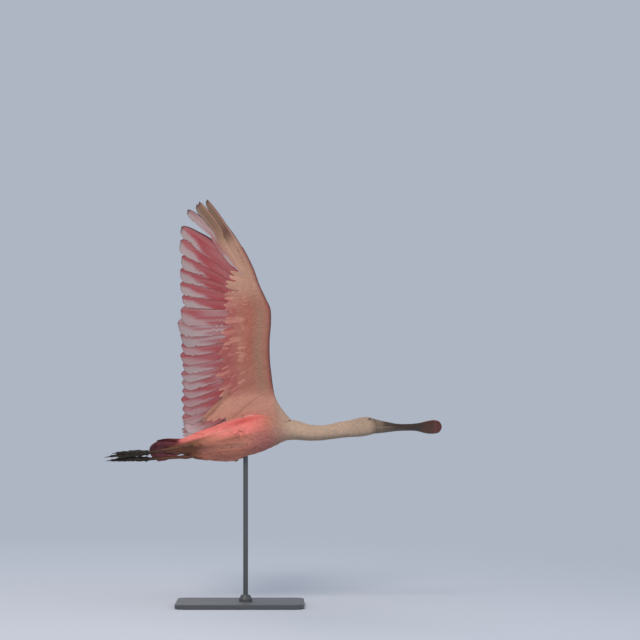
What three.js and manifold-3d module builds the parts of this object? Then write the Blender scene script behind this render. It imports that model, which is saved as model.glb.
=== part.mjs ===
// A life-size roseate spoonbill, gliding in a bank on a plain display stand.
//
// All lengths are in millimetres. In the finished model +X is the way the bird flies, +Z is up,
// and the origin is the centre of the stand's underside.
// The bird itself is shaped upright in its own frame: +X to the bill, +Y to its left, +Z to its back.
// A turn about X then banks it, so that its belly faces -Y and its right wing stands straight up.

import * as THREE from 'three';
import { mergeVertices } from 'three/addons/utils/BufferGeometryUtils.js';
import Module from 'manifold-3d';

const wasm = await Module();
wasm.setup();

// Pose
const bodyHeight = 420;
const bankAngle = THREE.MathUtils.degToRad(40);
const wingRaise = THREE.MathUtils.degToRad(50);
const RIGHT = -1;
const LEFT = 1;

// Clear gap between pieces that touch
const gap = 0.3;

// Stand
const base = { length: 320, width: 240, thickness: 12, corner: 24, bevel: 2, cornerFacets: 3 };
const rod = { radius: 6, x: 14, y: 0, sides: 16 };
const collar = { height: 16, radius: 17, topRadius: 11, sides: 16 };

// Body, from the rump to the root of the bill: height of the middle, half-width and half-depth
const bodyStations = [
  { x: -190, z: -36, a: 12, b: 5 },
  { x: -165, z: -31, a: 22, b: 13 },
  { x: -132, z: -24, a: 26, b: 20 },
  { x: -100, z: -18, a: 34, b: 31 },
  { x: -50, z: -10, a: 44, b: 46 },
  { x: 0, z: 2, a: 46, b: 54.5 },
  { x: 55, z: 14, a: 44, b: 48 },
  { x: 90, z: 22, a: 36, b: 38.5 },
  { x: 112, z: 27, a: 28, b: 30 },
  { x: 144, z: 24.6, a: 24, b: 25.8 },
  { x: 166, z: 18, a: 21, b: 22.2 },
  { x: 201, z: 15.9, a: 19, b: 20.2 },
  { x: 221, z: 18.6, a: 18.5, b: 19.9 },
  { x: 241, z: 24, a: 18.5, b: 22.6 },
  { x: 261, z: 27.7, a: 18.5, b: 23.2 },
  { x: 281, z: 30.5, a: 19.5, b: 24.7 },
  { x: 296, z: 33.9, a: 20, b: 26.5 },
  { x: 311, z: 36.4, a: 20, b: 27.6 },
  { x: 326, z: 38.4, a: 19.3, b: 25 },
  { x: 341, z: 36.7, a: 16.5, b: 18 },
  { x: 352, z: 35.6, a: 14.8, b: 15.4 },
];
const rumpEnd = -190;
const neckStart = 112;
const headStart = 276;
const billStart = 352;

// Bill: a flat straight blade that opens into the spoon
const billStations = [
  { x: 352, z: 35.6, a: 14.8, b: 15.4 },
  { x: 365, z: 34.9, a: 13.6, b: 12.8 },
  { x: 392, z: 33.7, a: 11.3, b: 7.4 },
  { x: 420, z: 33.9, a: 11.6, b: 5 },
  { x: 439, z: 34.4, a: 13.6, b: 4.6 },
  { x: 450, z: 34.1, a: 17, b: 4.2 },
  { x: 462, z: 34, a: 22.4, b: 4 },
  { x: 474, z: 34.4, a: 26, b: 3.8 },
  { x: 487, z: 35.4, a: 26.8, b: 3.6 },
  { x: 497, z: 35, a: 22.8, b: 3 },
  { x: 504.5, z: 34.8, a: 8, b: 2 },
];
const gape = { gap: 0.6, edge: 0.5, fullness: 2.6 };

// Eyes
const eye = { x: 323, out: 14.6, up: 46, radius: 5.4 };

// Tail fan: half-width along its length
const tailStations = [
  { x: -122, z: -24, a: 22, b: 7 },
  { x: -160, z: -28.5, a: 34, b: 4.5 },
  { x: -200, z: -35.5, a: 40, b: 2.4 },
  { x: -214, z: -38.5, a: 36, b: 1.6 },
  { x: -224, z: -40.5, a: 26, b: 1 },
];
const tailFan = { feathers: 12, arch: 5, scallop: 2, shorterEdge: 0.08, thinnerEdge: 0.6, rows: 3 };

// Wing, in its own plane: t runs outwards from the shoulder, x forwards
const shoulder = { out: 27, up: 45 };
const leadingEdge = [
  { t: -20, x: 134 },
  { t: -5, x: 125 },
  { t: 12, x: 111 },
  { t: 32, x: 96.5 },
  { t: 52, x: 87 },
  { t: 72, x: 82.5 },
  { t: 104, x: 78.3 },
  { t: 145, x: 74 },
  { t: 192, x: 73.5 },
  { t: 239, x: 77 },
  { t: 272, x: 75.2 },
  { t: 298, x: 63.5 },
  { t: 334, x: 47 },
  { t: 375, x: 32 },
  { t: 422, x: 8 },
  { t: 464, x: -21 },
  { t: 505, x: -50.5 },
  { t: 547, x: -84 },
];
const armSections = [
  { t: -14, chord: 112, thick: 34 },
  { t: 12, chord: 102, thick: 32 },
  { t: 32, chord: 89, thick: 30 },
  { t: 60, chord: 79, thick: 27 },
  { t: 115, chord: 71, thick: 20 },
  { t: 180, chord: 62, thick: 16 },
  { t: 272, chord: 42, thick: 12 },
  { t: 320, chord: 30, thick: 9 },
  { t: 352, chord: 18, thick: 5 },
];
const trailingEdgeX = -150;
const wingtipBend = { from: 120, to: 547, rise: 77 };
const rootFold = { below: 60, reach: 107, drop: 14.6 };
const camber = { share: 0.07, forward: 0.7 };
const vane = { rootThickness: 3.4, tipThickness: 1.2, startChord: 0.5 };

// Tips of the primaries, from the innermost to the outermost, and how far each gap behind them reaches
const primaryTips = [
  { x: -146.5, t: 300.5, closed: 0.97 },
  { x: -151, t: 334, closed: 0.97 },
  { x: -151, t: 369.5, closed: 0.96 },
  { x: -147.5, t: 403, closed: 0.94 },
  { x: -151, t: 443, closed: 0.9 },
  { x: -149, t: 478, closed: 0.63 },
  { x: -132.5, t: 521, closed: 0.79 },
  { x: -110.5, t: 534.8, closed: 0.95 },
  { x: -105, t: 541.5, closed: 0.88 },
  { x: -85, t: 547, closed: 0.9 },
];
const primaryRoots = [
  { k: 0, t: 281 },
  { k: 3, t: 322 },
  { k: 6, t: 335 },
  { k: 10, t: 346 },
];
const outerTip = { x: -72, t: 533 };
const fingerBend = { from: 5, power: 1.5, startShare: 1 / 6 };
const primaryColumns = 4;
const secondaryColumns = 3;
const vaneRows = 3;

// Secondaries and tertials, k counting inwards from the primaries
const secondaryCount = 14;
const secondaryTips = [
  { k: 0, x: -144, t: 284 },
  { k: 0.5, x: -147, t: 267 },
  { k: 1.5, x: -157, t: 236 },
  { k: 2.5, x: -151, t: 205 },
  { k: 5.5, x: -148, t: 130 },
  { k: 9.5, x: -147, t: 43 },
  { k: 11.5, x: -147, t: -2 },
  { k: 13.5, x: -132, t: -45 },
  { k: 14, x: -124, t: -52 },
];
const secondaryRoots = [
  { k: 0, t: 281 },
  { k: 4, t: 208 },
  { k: 9, t: 135 },
  { k: 12, t: 90 },
  { k: 14, t: 2 },
];
const secondaryClosed = 0.955;

// Legs, each drawn out straight behind
const thigh = { end: -118, startRadius: 25, endRadius: 5.8, sides: 12, steps: 5 };
const shank = { boneRadius: 4, heelRadius: 5.8, heelShare: 0.14, heelReach: 0.08, sides: 7, steps: 12 };
const rightLeg = {
  knee: new THREE.Vector3(-2, -30, -20),
  heel: new THREE.Vector3(-134, -25, -45),
  ankle: new THREE.Vector3(-228, -9, -54),
  toes: [
    { tip: new THREE.Vector3(-337, -5.5, -65), sag: 2 },
    { tip: new THREE.Vector3(-319, -15, -60), sag: 1 },
    { tip: new THREE.Vector3(-312, -2.5, -68), sag: 0 },
    { tip: new THREE.Vector3(-284, -10, -51), sag: -1 },
  ],
};
const leftLeg = {
  knee: new THREE.Vector3(-2, 24, -25),
  heel: new THREE.Vector3(-134, 11, -51),
  ankle: new THREE.Vector3(-230, 7.5, -60.5),
  toes: [
    { tip: new THREE.Vector3(-335, 4, -69), sag: 0 },
    { tip: new THREE.Vector3(-315, 11.5, -64), sag: 0 },
    { tip: new THREE.Vector3(-309, 5, -62), sag: -1 },
    { tip: new THREE.Vector3(-282, 9, -58), sag: 1 },
  ],
};
const toe = { rootRadius: 5.6, clawTip: 0.5, clawShare: 0.88, clawRadius: 2.3, sides: 5, steps: 4 };

// Facets of the body's lengths and of the bill
const trunkFacets = { steps: 16, sides: 18 };
const neckFacets = { steps: 9, sides: 16 };
const billFacets = { columns: 6, rows: 14 };
const eyeFacets = { around: 10, up: 7 };
const armFacets = { sides: 10, steps: 12 };

// Colours and finishes of the sub-parts
function finish(color, roughness, metalness = 0) {
  return new THREE.MeshStandardMaterial({ color, roughness, metalness });
}
const bodyPlumage = () => finish('#d9867c', 0.85);
const neckPlumage = () => finish('#c9b8a2', 0.85);
const wingPlumage = () => finish('#c98a86', 0.85);
const flightFeather = () => finish('#c4747c', 0.8);
const tailPlumage = () => finish('#a24456', 0.8);
const billHorn = () => finish('#7a6a5c', 0.55);
const eyeDark = () => finish('#2a1c18', 0.1);
const legScale = () => finish('#6d5148', 0.6);
const footScale = () => finish('#34332c', 0.6);
const paintedSteel = () => finish('#3d4043', 0.5, 0.2);

// Smooth value of every number in a table of stations at a place along it
function along(stations, key, place) {
  const last = stations.length - 1;
  const rising = stations[last][key] > stations[0][key];
  const rows = rising ? stations : [...stations].reverse();
  let k = 0;
  while (k < last - 1 && place > rows[k + 1][key]) {
    k += 1;
  }
  const span = rows[k + 1][key] - rows[k][key];
  const f = Math.min(Math.max((place - rows[k][key]) / span, 0), 1);
  const slope = (i, name) => {
    const low = rows[Math.max(i - 1, 0)];
    const high = rows[Math.min(i + 1, last)];
    return ((high[name] - low[name]) / (high[key] - low[key])) * span;
  };
  const value = {};
  for (const name of Object.keys(rows[0])) {
    const from = rows[k][name];
    const to = rows[k + 1][name];
    const leave = slope(k, name);
    const arrive = slope(k + 1, name);
    const f2 = f * f;
    const f3 = f2 * f;
    value[name] =
      (2 * f3 - 3 * f2 + 1) * from + (f3 - 2 * f2 + f) * leave + (3 * f2 - 2 * f3) * to + (f3 - f2) * arrive;
  }
  return value;
}

// Closed bodies made by moving the corners of a plain shape
function reshape(geometry, place) {
  geometry.deleteAttribute('normal');
  geometry.deleteAttribute('uv');
  const merged = mergeVertices(geometry);
  const corners = merged.attributes.position;
  for (let i = 0; i < corners.count; i += 1) {
    const at = place(corners.getX(i), corners.getY(i), corners.getZ(i));
    corners.setXYZ(i, at.x, at.y, at.z);
  }
  return facingOut(merged);
}

function facingOut(geometry) {
  const corners = geometry.attributes.position;
  const index = geometry.index;
  const [a, b, c] = [new THREE.Vector3(), new THREE.Vector3(), new THREE.Vector3()];
  let volume = 0;
  for (let i = 0; i < index.count; i += 3) {
    a.fromBufferAttribute(corners, index.getX(i));
    b.fromBufferAttribute(corners, index.getX(i + 1));
    c.fromBufferAttribute(corners, index.getX(i + 2));
    volume += a.dot(b.cross(c));
  }
  if (volume < 0) {
    for (let i = 0; i < index.count; i += 3) {
      const kept = index.getX(i);
      index.setX(i, index.getX(i + 1));
      index.setX(i + 1, kept);
    }
  }
  return geometry;
}

// A closed tube: place gets the share of the length, the angle round it and the share of the radius
function tube(sides, steps, place) {
  const cylinder = new THREE.CylinderGeometry(1, 1, 1, sides, steps);
  return reshape(cylinder, (x, y, z) => place(y + 0.5, Math.atan2(z, x), Math.hypot(x, z)));
}

// A closed sheet: place gets the shares across, along and through it
function sheet(columns, rows, place) {
  const box = new THREE.BoxGeometry(1, 1, 1, columns, rows, 1);
  return reshape(box, (x, y, z) => place(x + 0.5, y + 0.5, z));
}

// Cuts and joins
function solid(geometry) {
  const vertProperties = Float32Array.from(geometry.attributes.position.array);
  const triVerts = Uint32Array.from(geometry.index.array);
  return new wasm.Manifold(new wasm.Mesh({ numProp: 3, vertProperties, triVerts }));
}

function geometryOf(body) {
  const { vertProperties, triVerts } = body.getMesh();
  const geometry = new THREE.BufferGeometry();
  geometry.setAttribute('position', new THREE.BufferAttribute(Float32Array.from(vertProperties), 3));
  geometry.setIndex(new THREE.BufferAttribute(Uint32Array.from(triVerts), 1));
  return geometry;
}

// The main body that is left after the cuts, without loose slivers
function cut(geometry, ...cutters) {
  const left = cutters.reduce((body, cutter) => body.subtract(solid(cutter)), solid(geometry));
  const bodies = left.decompose().sort((one, other) => other.volume() - one.volume());
  return geometryOf(bodies[0]);
}

function join(geometries) {
  return geometryOf(geometries.map(solid).reduce((body, other) => body.add(other)));
}

// Body, neck and head are lengths of one form, parted by thin cuts
function bodyLength(from, to, facets, grow = 0) {
  return tube(facets.sides, facets.steps, (s, angle, r) => {
    const x = THREE.MathUtils.lerp(from, to, s);
    const at = along(bodyStations, 'x', x);
    const across = (at.a + grow) * r * Math.cos(angle);
    const up = at.z + (at.b + grow) * r * Math.sin(angle);
    return new THREE.Vector3(x, across, up);
  });
}

function trunk(grow = 0) {
  return bodyLength(rumpEnd - grow, neckStart - gap / 2 + grow, trunkFacets, grow);
}

function neck(grow = 0) {
  return bodyLength(neckStart + gap / 2 - grow, headStart - gap / 2 + grow, neckFacets, grow);
}

function eyeball(side, grow = 0) {
  const ball = new THREE.SphereGeometry(eye.radius + grow, eyeFacets.around, eyeFacets.up);
  ball.rotateX(Math.PI / 2);
  ball.deleteAttribute('normal');
  ball.deleteAttribute('uv');
  const merged = mergeVertices(ball);
  merged.translate(eye.x, side * eye.out, eye.up);
  return merged;
}

function head() {
  const skull = bodyLength(headStart + gap / 2, billStart - gap, neckFacets);
  return cut(skull, eyeball(RIGHT, gap), eyeball(LEFT, gap));
}

// Each half of the bill is a sheet, thin at its edge, with the gape between the two
function mandible(upward) {
  const from = billStart;
  const to = billStations[billStations.length - 1].x;
  return sheet(billFacets.columns, billFacets.rows, (u, v, w) => {
    const at = along(billStations, 'x', THREE.MathUtils.lerp(from, to, v));
    const across = Math.sin((u - 0.5) * Math.PI);
    const hollow = Math.sqrt(1 - Math.abs(across) ** gape.fullness);
    const inner = gape.gap / 2;
    const outer = inner + gape.edge + (at.b - inner - gape.edge) * hollow;
    const up = at.z + upward * (w > 0 ? outer : inner);
    return new THREE.Vector3(at.x, at.a * across, up);
  });
}

// Tail fan
function tail() {
  const from = tailStations[0].x;
  const to = tailStations[tailStations.length - 1].x;
  const columns = tailFan.feathers * 2;
  return sheet(columns, tailFan.rows, (u, v, w) => {
    const across = (u - 0.5) * 2;
    const outward = across * across;
    const scallop = Math.round(u * columns) % 2 === 0 ? tailFan.scallop : 0;
    const end = (to - tailFan.scallop) * (1 - tailFan.shorterEdge * outward) + scallop;
    const x = THREE.MathUtils.lerp(from, end, v);
    const at = along(tailStations, 'x', Math.max(x, to));
    const halfDepth = at.b * (1 - tailFan.thinnerEdge * outward);
    const up = at.z - tailFan.arch * outward * v + 2 * w * halfDepth;
    return new THREE.Vector3(x, at.a * across, up);
  });
}

// Wing surface: how far it stands off the wing's flat plane, towards the back
function wingLift(x, t) {
  const reach = Math.max(t - wingtipBend.from, 0) / (wingtipBend.to - wingtipBend.from);
  const fold = Math.max(rootFold.below - t, 0) / rootFold.reach;
  const front = along(leadingEdge, 't', t).x;
  const chord = front - trailingEdgeX;
  const share = THREE.MathUtils.clamp((front - x) / chord, 0, 1);
  const arch = camber.share * chord * Math.sin(Math.PI * share ** camber.forward);
  return wingtipBend.rise * reach * reach - rootFold.drop * fold * fold + arch;
}

function wingPoint(side, x, t, off) {
  const n = wingLift(x, t) + off;
  const out = shoulder.out + t * Math.cos(wingRaise) - n * Math.sin(wingRaise);
  const up = shoulder.up + t * Math.sin(wingRaise) + n * Math.cos(wingRaise);
  return new THREE.Vector3(x, side * out, up);
}

function wingArm(side, grow = 0) {
  const from = armSections[0].t - grow;
  const to = armSections[armSections.length - 1].t + grow;
  return tube(armFacets.sides, armFacets.steps, (s, angle, r) => {
    const t = THREE.MathUtils.lerp(from, to, s);
    const { chord, thick } = along(armSections, 't', t);
    const front = along(leadingEdge, 't', t).x;
    const x = front - chord / 2 + (chord / 2 + grow) * r * Math.cos(angle);
    const off = (thick / 2 + grow) * r * Math.sin(angle);
    return wingPoint(side, x, t, off);
  });
}

// Flight feathers: one sheet with a rounded tip for each feather and a notch between each two
function featherFan(side, count, columns, rootAt, tipAt, closedAt, sweepAt) {
  return sheet(count * columns, vaneRows, (u, v, w) => {
    const k = u * count;
    const nearest = Math.round(k);
    const offTip = Math.abs(2 * (k - Math.min(Math.floor(k), count - 1)) - 1);
    const notch = (1 - closedAt(nearest)) * offTip ** 3;
    const reach = v * (1 - notch);
    const root = rootAt(k);
    const tip = tipAt(k);
    const t = THREE.MathUtils.lerp(root.t, tip.t, reach);
    const straight = THREE.MathUtils.lerp(root.x, tip.x, reach);
    const x = straight + sweepAt(k, t, reach);
    const thickness = THREE.MathUtils.lerp(vane.rootThickness, vane.tipThickness, reach);
    return wingPoint(side, x, t, w * thickness);
  });
}

function rootOnArm(t) {
  const front = along(leadingEdge, 't', t).x;
  return { x: front - vane.startChord * along(armSections, 't', t).chord, t };
}

function primaries(side) {
  const count = primaryTips.length;
  const tips = primaryTips.map((tip, i) => ({ k: i + 0.5, x: tip.x, t: tip.t }));
  const inner = { k: 0, x: secondaryTips[0].x, t: secondaryTips[0].t };
  const outer = { k: count, ...outerTip };
  const tipTable = [inner, ...tips, outer];
  const rootAt = (k) => {
    const root = rootOnArm(along(primaryRoots, 'k', k).t);
    root.t += gap / 2;
    return root;
  };
  const tipAt = (k) => {
    const tip = along(tipTable, 'k', k);
    tip.t += gap / 2;
    return tip;
  };
  const closedAt = (nearest) => (nearest === 0 ? secondaryClosed : primaryTips[nearest - 1].closed);
  const sweepAt = (k, t, reach) => {
    const weight = Math.max((k - fingerBend.from) / (count - fingerBend.from), 0) ** fingerBend.power;
    const root = rootAt(count);
    const tip = tipAt(count);
    const onLine = THREE.MathUtils.lerp(root.x, tip.x, reach);
    const onEdge = along(leadingEdge, 't', THREE.MathUtils.lerp(root.t, tip.t, reach)).x;
    return weight * Math.min(reach / fingerBend.startShare, 1) * (onEdge - onLine);
  };
  return featherFan(side, count, primaryColumns, rootAt, tipAt, closedAt, sweepAt);
}

function secondaries(side) {
  const rootAt = (k) => {
    const root = rootOnArm(along(secondaryRoots, 'k', k).t);
    root.t -= gap / 2;
    return root;
  };
  const tipAt = (k) => {
    const tip = along(secondaryTips, 'k', k);
    tip.t -= gap / 2;
    return tip;
  };
  const closedAt = () => secondaryClosed;
  const sweepAt = () => 0;
  return featherFan(side, secondaryCount, secondaryColumns, rootAt, tipAt, closedAt, sweepAt);
}

// Legs
function taperedTube(curve, radiusAt, sides, steps) {
  const frames = curve.computeFrenetFrames(steps);
  return tube(sides, steps, (s, angle, r) => {
    const k = Math.round(s * steps);
    const reach = radiusAt(s) * r;
    const at = curve.getPointAt(s);
    at.addScaledVector(frames.normals[k], reach * Math.cos(angle));
    at.addScaledVector(frames.binormals[k], reach * Math.sin(angle));
    return at;
  });
}

function tibiaPoint({ knee, heel }, x) {
  return knee.clone().lerp(heel, (knee.x - x) / (knee.x - heel.x));
}

function featheredThigh(leg) {
  const line = new THREE.LineCurve3(leg.knee, tibiaPoint(leg, thigh.end));
  const radiusAt = (s) => {
    const fullness = Math.cos((s * Math.PI) / 2);
    return THREE.MathUtils.lerp(thigh.endRadius, thigh.startRadius, fullness);
  };
  return taperedTube(line, radiusAt, thigh.sides, thigh.steps);
}

function bareLeg(leg, grow = 0) {
  const start = tibiaPoint(leg, thigh.end - gap);
  const bow = leg.heel.clone().lerp(leg.ankle, 0.5);
  const end = leg.ankle.clone();
  end.x -= grow;
  const curve = new THREE.CatmullRomCurve3([start, leg.heel, bow, end]);
  const radiusAt = (s) => {
    const nearHeel = Math.exp(-(((s - shank.heelShare) / shank.heelReach) ** 2));
    return THREE.MathUtils.lerp(shank.boneRadius, shank.heelRadius, nearHeel) + grow;
  };
  return taperedTube(curve, radiusAt, shank.sides, shank.steps);
}

function foot(leg) {
  const start = leg.ankle;
  const digits = leg.toes.map(({ tip, sag }) => {
    const bow = start.clone().lerp(tip, 0.5);
    bow.z += sag;
    const curve = new THREE.CatmullRomCurve3([start, bow, tip]);
    const radiusAt = (s) => {
      const flesh = THREE.MathUtils.lerp(toe.rootRadius, toe.clawRadius, s / toe.clawShare);
      const claw = (toe.clawRadius * (1 - s)) / (1 - toe.clawShare);
      return Math.max(s < toe.clawShare ? flesh : claw, toe.clawTip);
    };
    return taperedTube(curve, radiusAt, toe.sides, toe.steps);
  });
  return cut(join(digits), bareLeg(leg, gap));
}

// Stand
function standBase() {
  const { length, width, thickness, corner, bevel } = base;
  const [x, y] = [length / 2 - bevel, width / 2 - bevel];
  const outline = new THREE.Shape();
  outline.moveTo(-x + corner, -y);
  outline.lineTo(x - corner, -y);
  outline.absarc(x - corner, -y + corner, corner, -Math.PI / 2, 0);
  outline.lineTo(x, y - corner);
  outline.absarc(x - corner, y - corner, corner, 0, Math.PI / 2);
  outline.lineTo(-x + corner, y);
  outline.absarc(-x + corner, y - corner, corner, Math.PI / 2, Math.PI);
  outline.lineTo(-x, -y + corner);
  outline.absarc(-x + corner, -y + corner, corner, Math.PI, 1.5 * Math.PI);
  const slab = new THREE.ExtrudeGeometry(outline, {
    depth: thickness - 2 * bevel,
    bevelThickness: bevel,
    bevelSize: bevel,
    bevelSegments: 1,
    curveSegments: base.cornerFacets,
  });
  slab.translate(0, 0, bevel);
  slab.deleteAttribute('normal');
  slab.deleteAttribute('uv');
  return mergeVertices(slab);
}

function standCollar() {
  const bore = rod.radius + gap;
  const foot = base.thickness + gap;
  const profile = [
    new THREE.Vector2(bore, foot),
    new THREE.Vector2(collar.radius, foot),
    new THREE.Vector2(collar.radius, foot + collar.height / 3),
    new THREE.Vector2(collar.topRadius, foot + collar.height),
    new THREE.Vector2(bore, foot + collar.height),
    new THREE.Vector2(bore, foot),
  ];
  const ring = new THREE.LatheGeometry(profile, collar.sides);
  ring.rotateX(Math.PI / 2);
  ring.translate(rod.x, rod.y, 0);
  ring.deleteAttribute('normal');
  ring.deleteAttribute('uv');
  return facingOut(mergeVertices(ring));
}

function standRod(bank) {
  const foot = base.thickness + gap;
  const shaft = tube(rod.sides, 1, (s, angle, r) => {
    const x = rod.x + rod.radius * r * Math.cos(angle);
    const y = rod.y + rod.radius * r * Math.sin(angle);
    return new THREE.Vector3(x, y, THREE.MathUtils.lerp(foot, bodyHeight, s));
  });
  return cut(shaft, trunk(gap).applyMatrix4(bank));
}

// The whole model
const model = new THREE.Group();
const bird = new THREE.Group();
bird.rotation.x = -bankAngle;
bird.position.z = bodyHeight;
model.add(bird);

function addPiece(group, name, geometry, material) {
  const mesh = new THREE.Mesh(geometry, material);
  mesh.name = name;
  group.add(mesh);
}

addPiece(bird, 'trunk', trunk(), bodyPlumage());
addPiece(bird, 'neck', neck(), neckPlumage());
addPiece(bird, 'head', head(), neckPlumage());
addPiece(bird, 'bill_upper', mandible(1), billHorn());
addPiece(bird, 'bill_lower', mandible(-1), billHorn());
addPiece(bird, 'tail', cut(tail(), trunk(gap)), tailPlumage());

const sides = [
  { name: 'right', side: RIGHT, leg: rightLeg },
  { name: 'left', side: LEFT, leg: leftLeg },
];
for (const { name, side, leg } of sides) {
  const body = trunk(gap);
  const arm = wingArm(side, gap);
  const throat = neck(gap);
  addPiece(bird, `eye_${name}`, eyeball(side), eyeDark());
  addPiece(bird, `wing_${name}_arm`, cut(wingArm(side), body, throat), wingPlumage());
  addPiece(bird, `wing_${name}_primaries`, cut(primaries(side), arm), flightFeather());
  addPiece(bird, `wing_${name}_secondaries`, cut(secondaries(side), arm, body), flightFeather());
  addPiece(bird, `thigh_${name}`, cut(featheredThigh(leg), body), bodyPlumage());
  addPiece(bird, `leg_${name}`, cut(bareLeg(leg), body), legScale());
  addPiece(bird, `foot_${name}`, foot(leg), footScale());
}

bird.updateMatrix();
addPiece(model, 'stand_base', standBase(), paintedSteel());
addPiece(model, 'stand_collar', standCollar(), paintedSteel());
addPiece(model, 'stand_rod', standRod(bird.matrix), paintedSteel());

export default model;
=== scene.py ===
"""A life-size roseate spoonbill banking in flight, as a still museum model on a rod and a flat base.

Sizes are in millimetres in the bird's own upright frame, +X to the bill, +Y to its left, +Z to its back,
until a piece is made. BirdFrame then banks them and turns them to metres in the row frame.
"""

import logging
import math
from dataclasses import dataclass, field
from enum import Enum

import bmesh
import bpy
import numpy as np
from mathutils import Matrix, Vector
from mathutils.bvhtree import BVHTree


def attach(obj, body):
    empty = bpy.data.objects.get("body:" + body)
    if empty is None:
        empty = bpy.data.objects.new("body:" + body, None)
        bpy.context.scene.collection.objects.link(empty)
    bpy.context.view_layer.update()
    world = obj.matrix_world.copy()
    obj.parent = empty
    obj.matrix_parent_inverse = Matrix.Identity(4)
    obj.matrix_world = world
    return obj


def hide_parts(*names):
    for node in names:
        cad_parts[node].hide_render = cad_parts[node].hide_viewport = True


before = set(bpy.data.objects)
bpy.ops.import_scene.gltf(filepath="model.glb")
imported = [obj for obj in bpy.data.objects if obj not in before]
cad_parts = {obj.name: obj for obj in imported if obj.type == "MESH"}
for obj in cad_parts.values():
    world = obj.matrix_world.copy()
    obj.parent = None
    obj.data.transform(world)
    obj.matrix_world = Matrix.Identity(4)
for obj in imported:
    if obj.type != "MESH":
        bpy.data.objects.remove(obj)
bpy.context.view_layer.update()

LOG = logging.getLogger("spoonbill")
MM = 0.001
SEED = 20
BAKE_MAP = "OFBake"
VANE_MAP = "Vane"
TINT = "Tint"
PATCH = 0.003

Array = np.ndarray
Pair = tuple[float, float]
Place = tuple[float, float, float]


class Side(Enum):
    """Which side of the bird, with the sign of its Y."""

    RIGHT = -1
    LEFT = 1


class Face(Enum):
    """Which face of the wing, with the sign of its offset from the wing's mid plane."""

    UNDER = -1
    OVER = 1


def linear(code: str) -> Array:
    """Turns an sRGB hex value to linear light.

    Args:
        code: Six hex digits, with or without a hash.

    Returns:
        Red, green and blue, each 0 to 1.
    """
    code = code.lstrip("#")
    srgb = np.array([int(code[i : i + 2], 16) / 255 for i in (0, 2, 4)])
    return np.where(srgb <= 0.04045, srgb / 12.92, ((srgb + 0.055) / 1.055) ** 2.4)


def hue(code: str) -> Array:
    """Declares a palette colour from its sRGB hex value."""
    return field(default_factory=lambda: linear(code))


def mix(first: Array, second: Array, share: Array) -> Array:
    """Blends two colours, or arrays of them, by a share for each point."""
    share = np.clip(np.asarray(share, float), 0, 1)[..., None]
    return first * (1 - share) + second * share


def lay(tint: Array, *washes: tuple[Array, Array]) -> Array:
    """Lays washes over a tint in order, each a colour and its share at every point."""
    for colour, share in washes:
        tint = mix(tint, colour, share)
    return tint


def step(low: float, high: float, value: Array) -> Array:
    """Smooth rise from 0 at low to 1 at high."""
    share = np.clip((np.asarray(value, float) - low) / (high - low), 0, 1)
    return share * share * (3 - 2 * share)


def bell(centre: float, reach: float, value: Array) -> Array:
    """Smooth bump that is 1 at the centre and fades over the reach."""
    return np.exp(-(((np.asarray(value, float) - centre) / reach) ** 2))


class Knots:
    """A smooth curve through a few knots, with the same slopes as the solids use."""

    def __init__(self, *points: Pair) -> None:
        """Stores the knots in rising order.

        Args:
            points: Pairs of a place and the value there.
        """
        self.x, self.y = np.array(sorted(points), float).T
        x, y = self.x, self.y
        self.slope = np.empty(len(x))
        self.slope[1:-1] = (y[2:] - y[:-2]) / (x[2:] - x[:-2])
        self.slope[0] = (y[1] - y[0]) / (x[1] - x[0])
        self.slope[-1] = (y[-1] - y[-2]) / (x[-1] - x[-2])

    def __call__(self, where: Array) -> Array:
        """Gives the curve's value at each place, held constant past its ends."""
        where = np.asarray(where, float)
        k = np.clip(np.searchsorted(self.x, where, side="right") - 1, 0, len(self.x) - 2)
        span = self.x[k + 1] - self.x[k]
        f = np.clip((where - self.x[k]) / span, 0, 1)
        f2, f3 = f * f, f * f * f
        start = (2 * f3 - 3 * f2 + 1) * self.y[k] + (f3 - 2 * f2 + f) * self.slope[k] * span
        return start + (3 * f2 - 2 * f3) * self.y[k + 1] + (f3 - f2) * self.slope[k + 1] * span


@dataclass(frozen=True)
class BirdFrame:
    """How the upright bird is banked and held over the base."""

    height: float = 420.0
    bank: float = math.radians(40)

    def world(self, points: Array) -> Array:
        """Turns bird points in millimetres to row points in metres."""
        points = np.asarray(points, float)
        c, s = math.cos(self.bank), math.sin(self.bank)
        x, y, z = points[..., 0], points[..., 1], points[..., 2]
        return np.stack([x, y * c + z * s, self.height - y * s + z * c], -1) * MM

    def bird(self, points: Array) -> Array:
        """Turns row points in metres to bird points in millimetres."""
        points = np.asarray(points, float) / MM
        c, s = math.cos(self.bank), math.sin(self.bank)
        x, y, z = points[..., 0], points[..., 1], points[..., 2] - self.height
        return np.stack([x, y * c - z * s, y * s + z * c], -1)

    def turn(self, vectors: Array) -> Array:
        """Turns bird directions to row directions."""
        c, s = math.cos(self.bank), math.sin(self.bank)
        x, y, z = vectors[..., 0], vectors[..., 1], vectors[..., 2]
        return np.stack([x, y * c + z * s, -y * s + z * c], -1)


POSE = BirdFrame()


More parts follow.
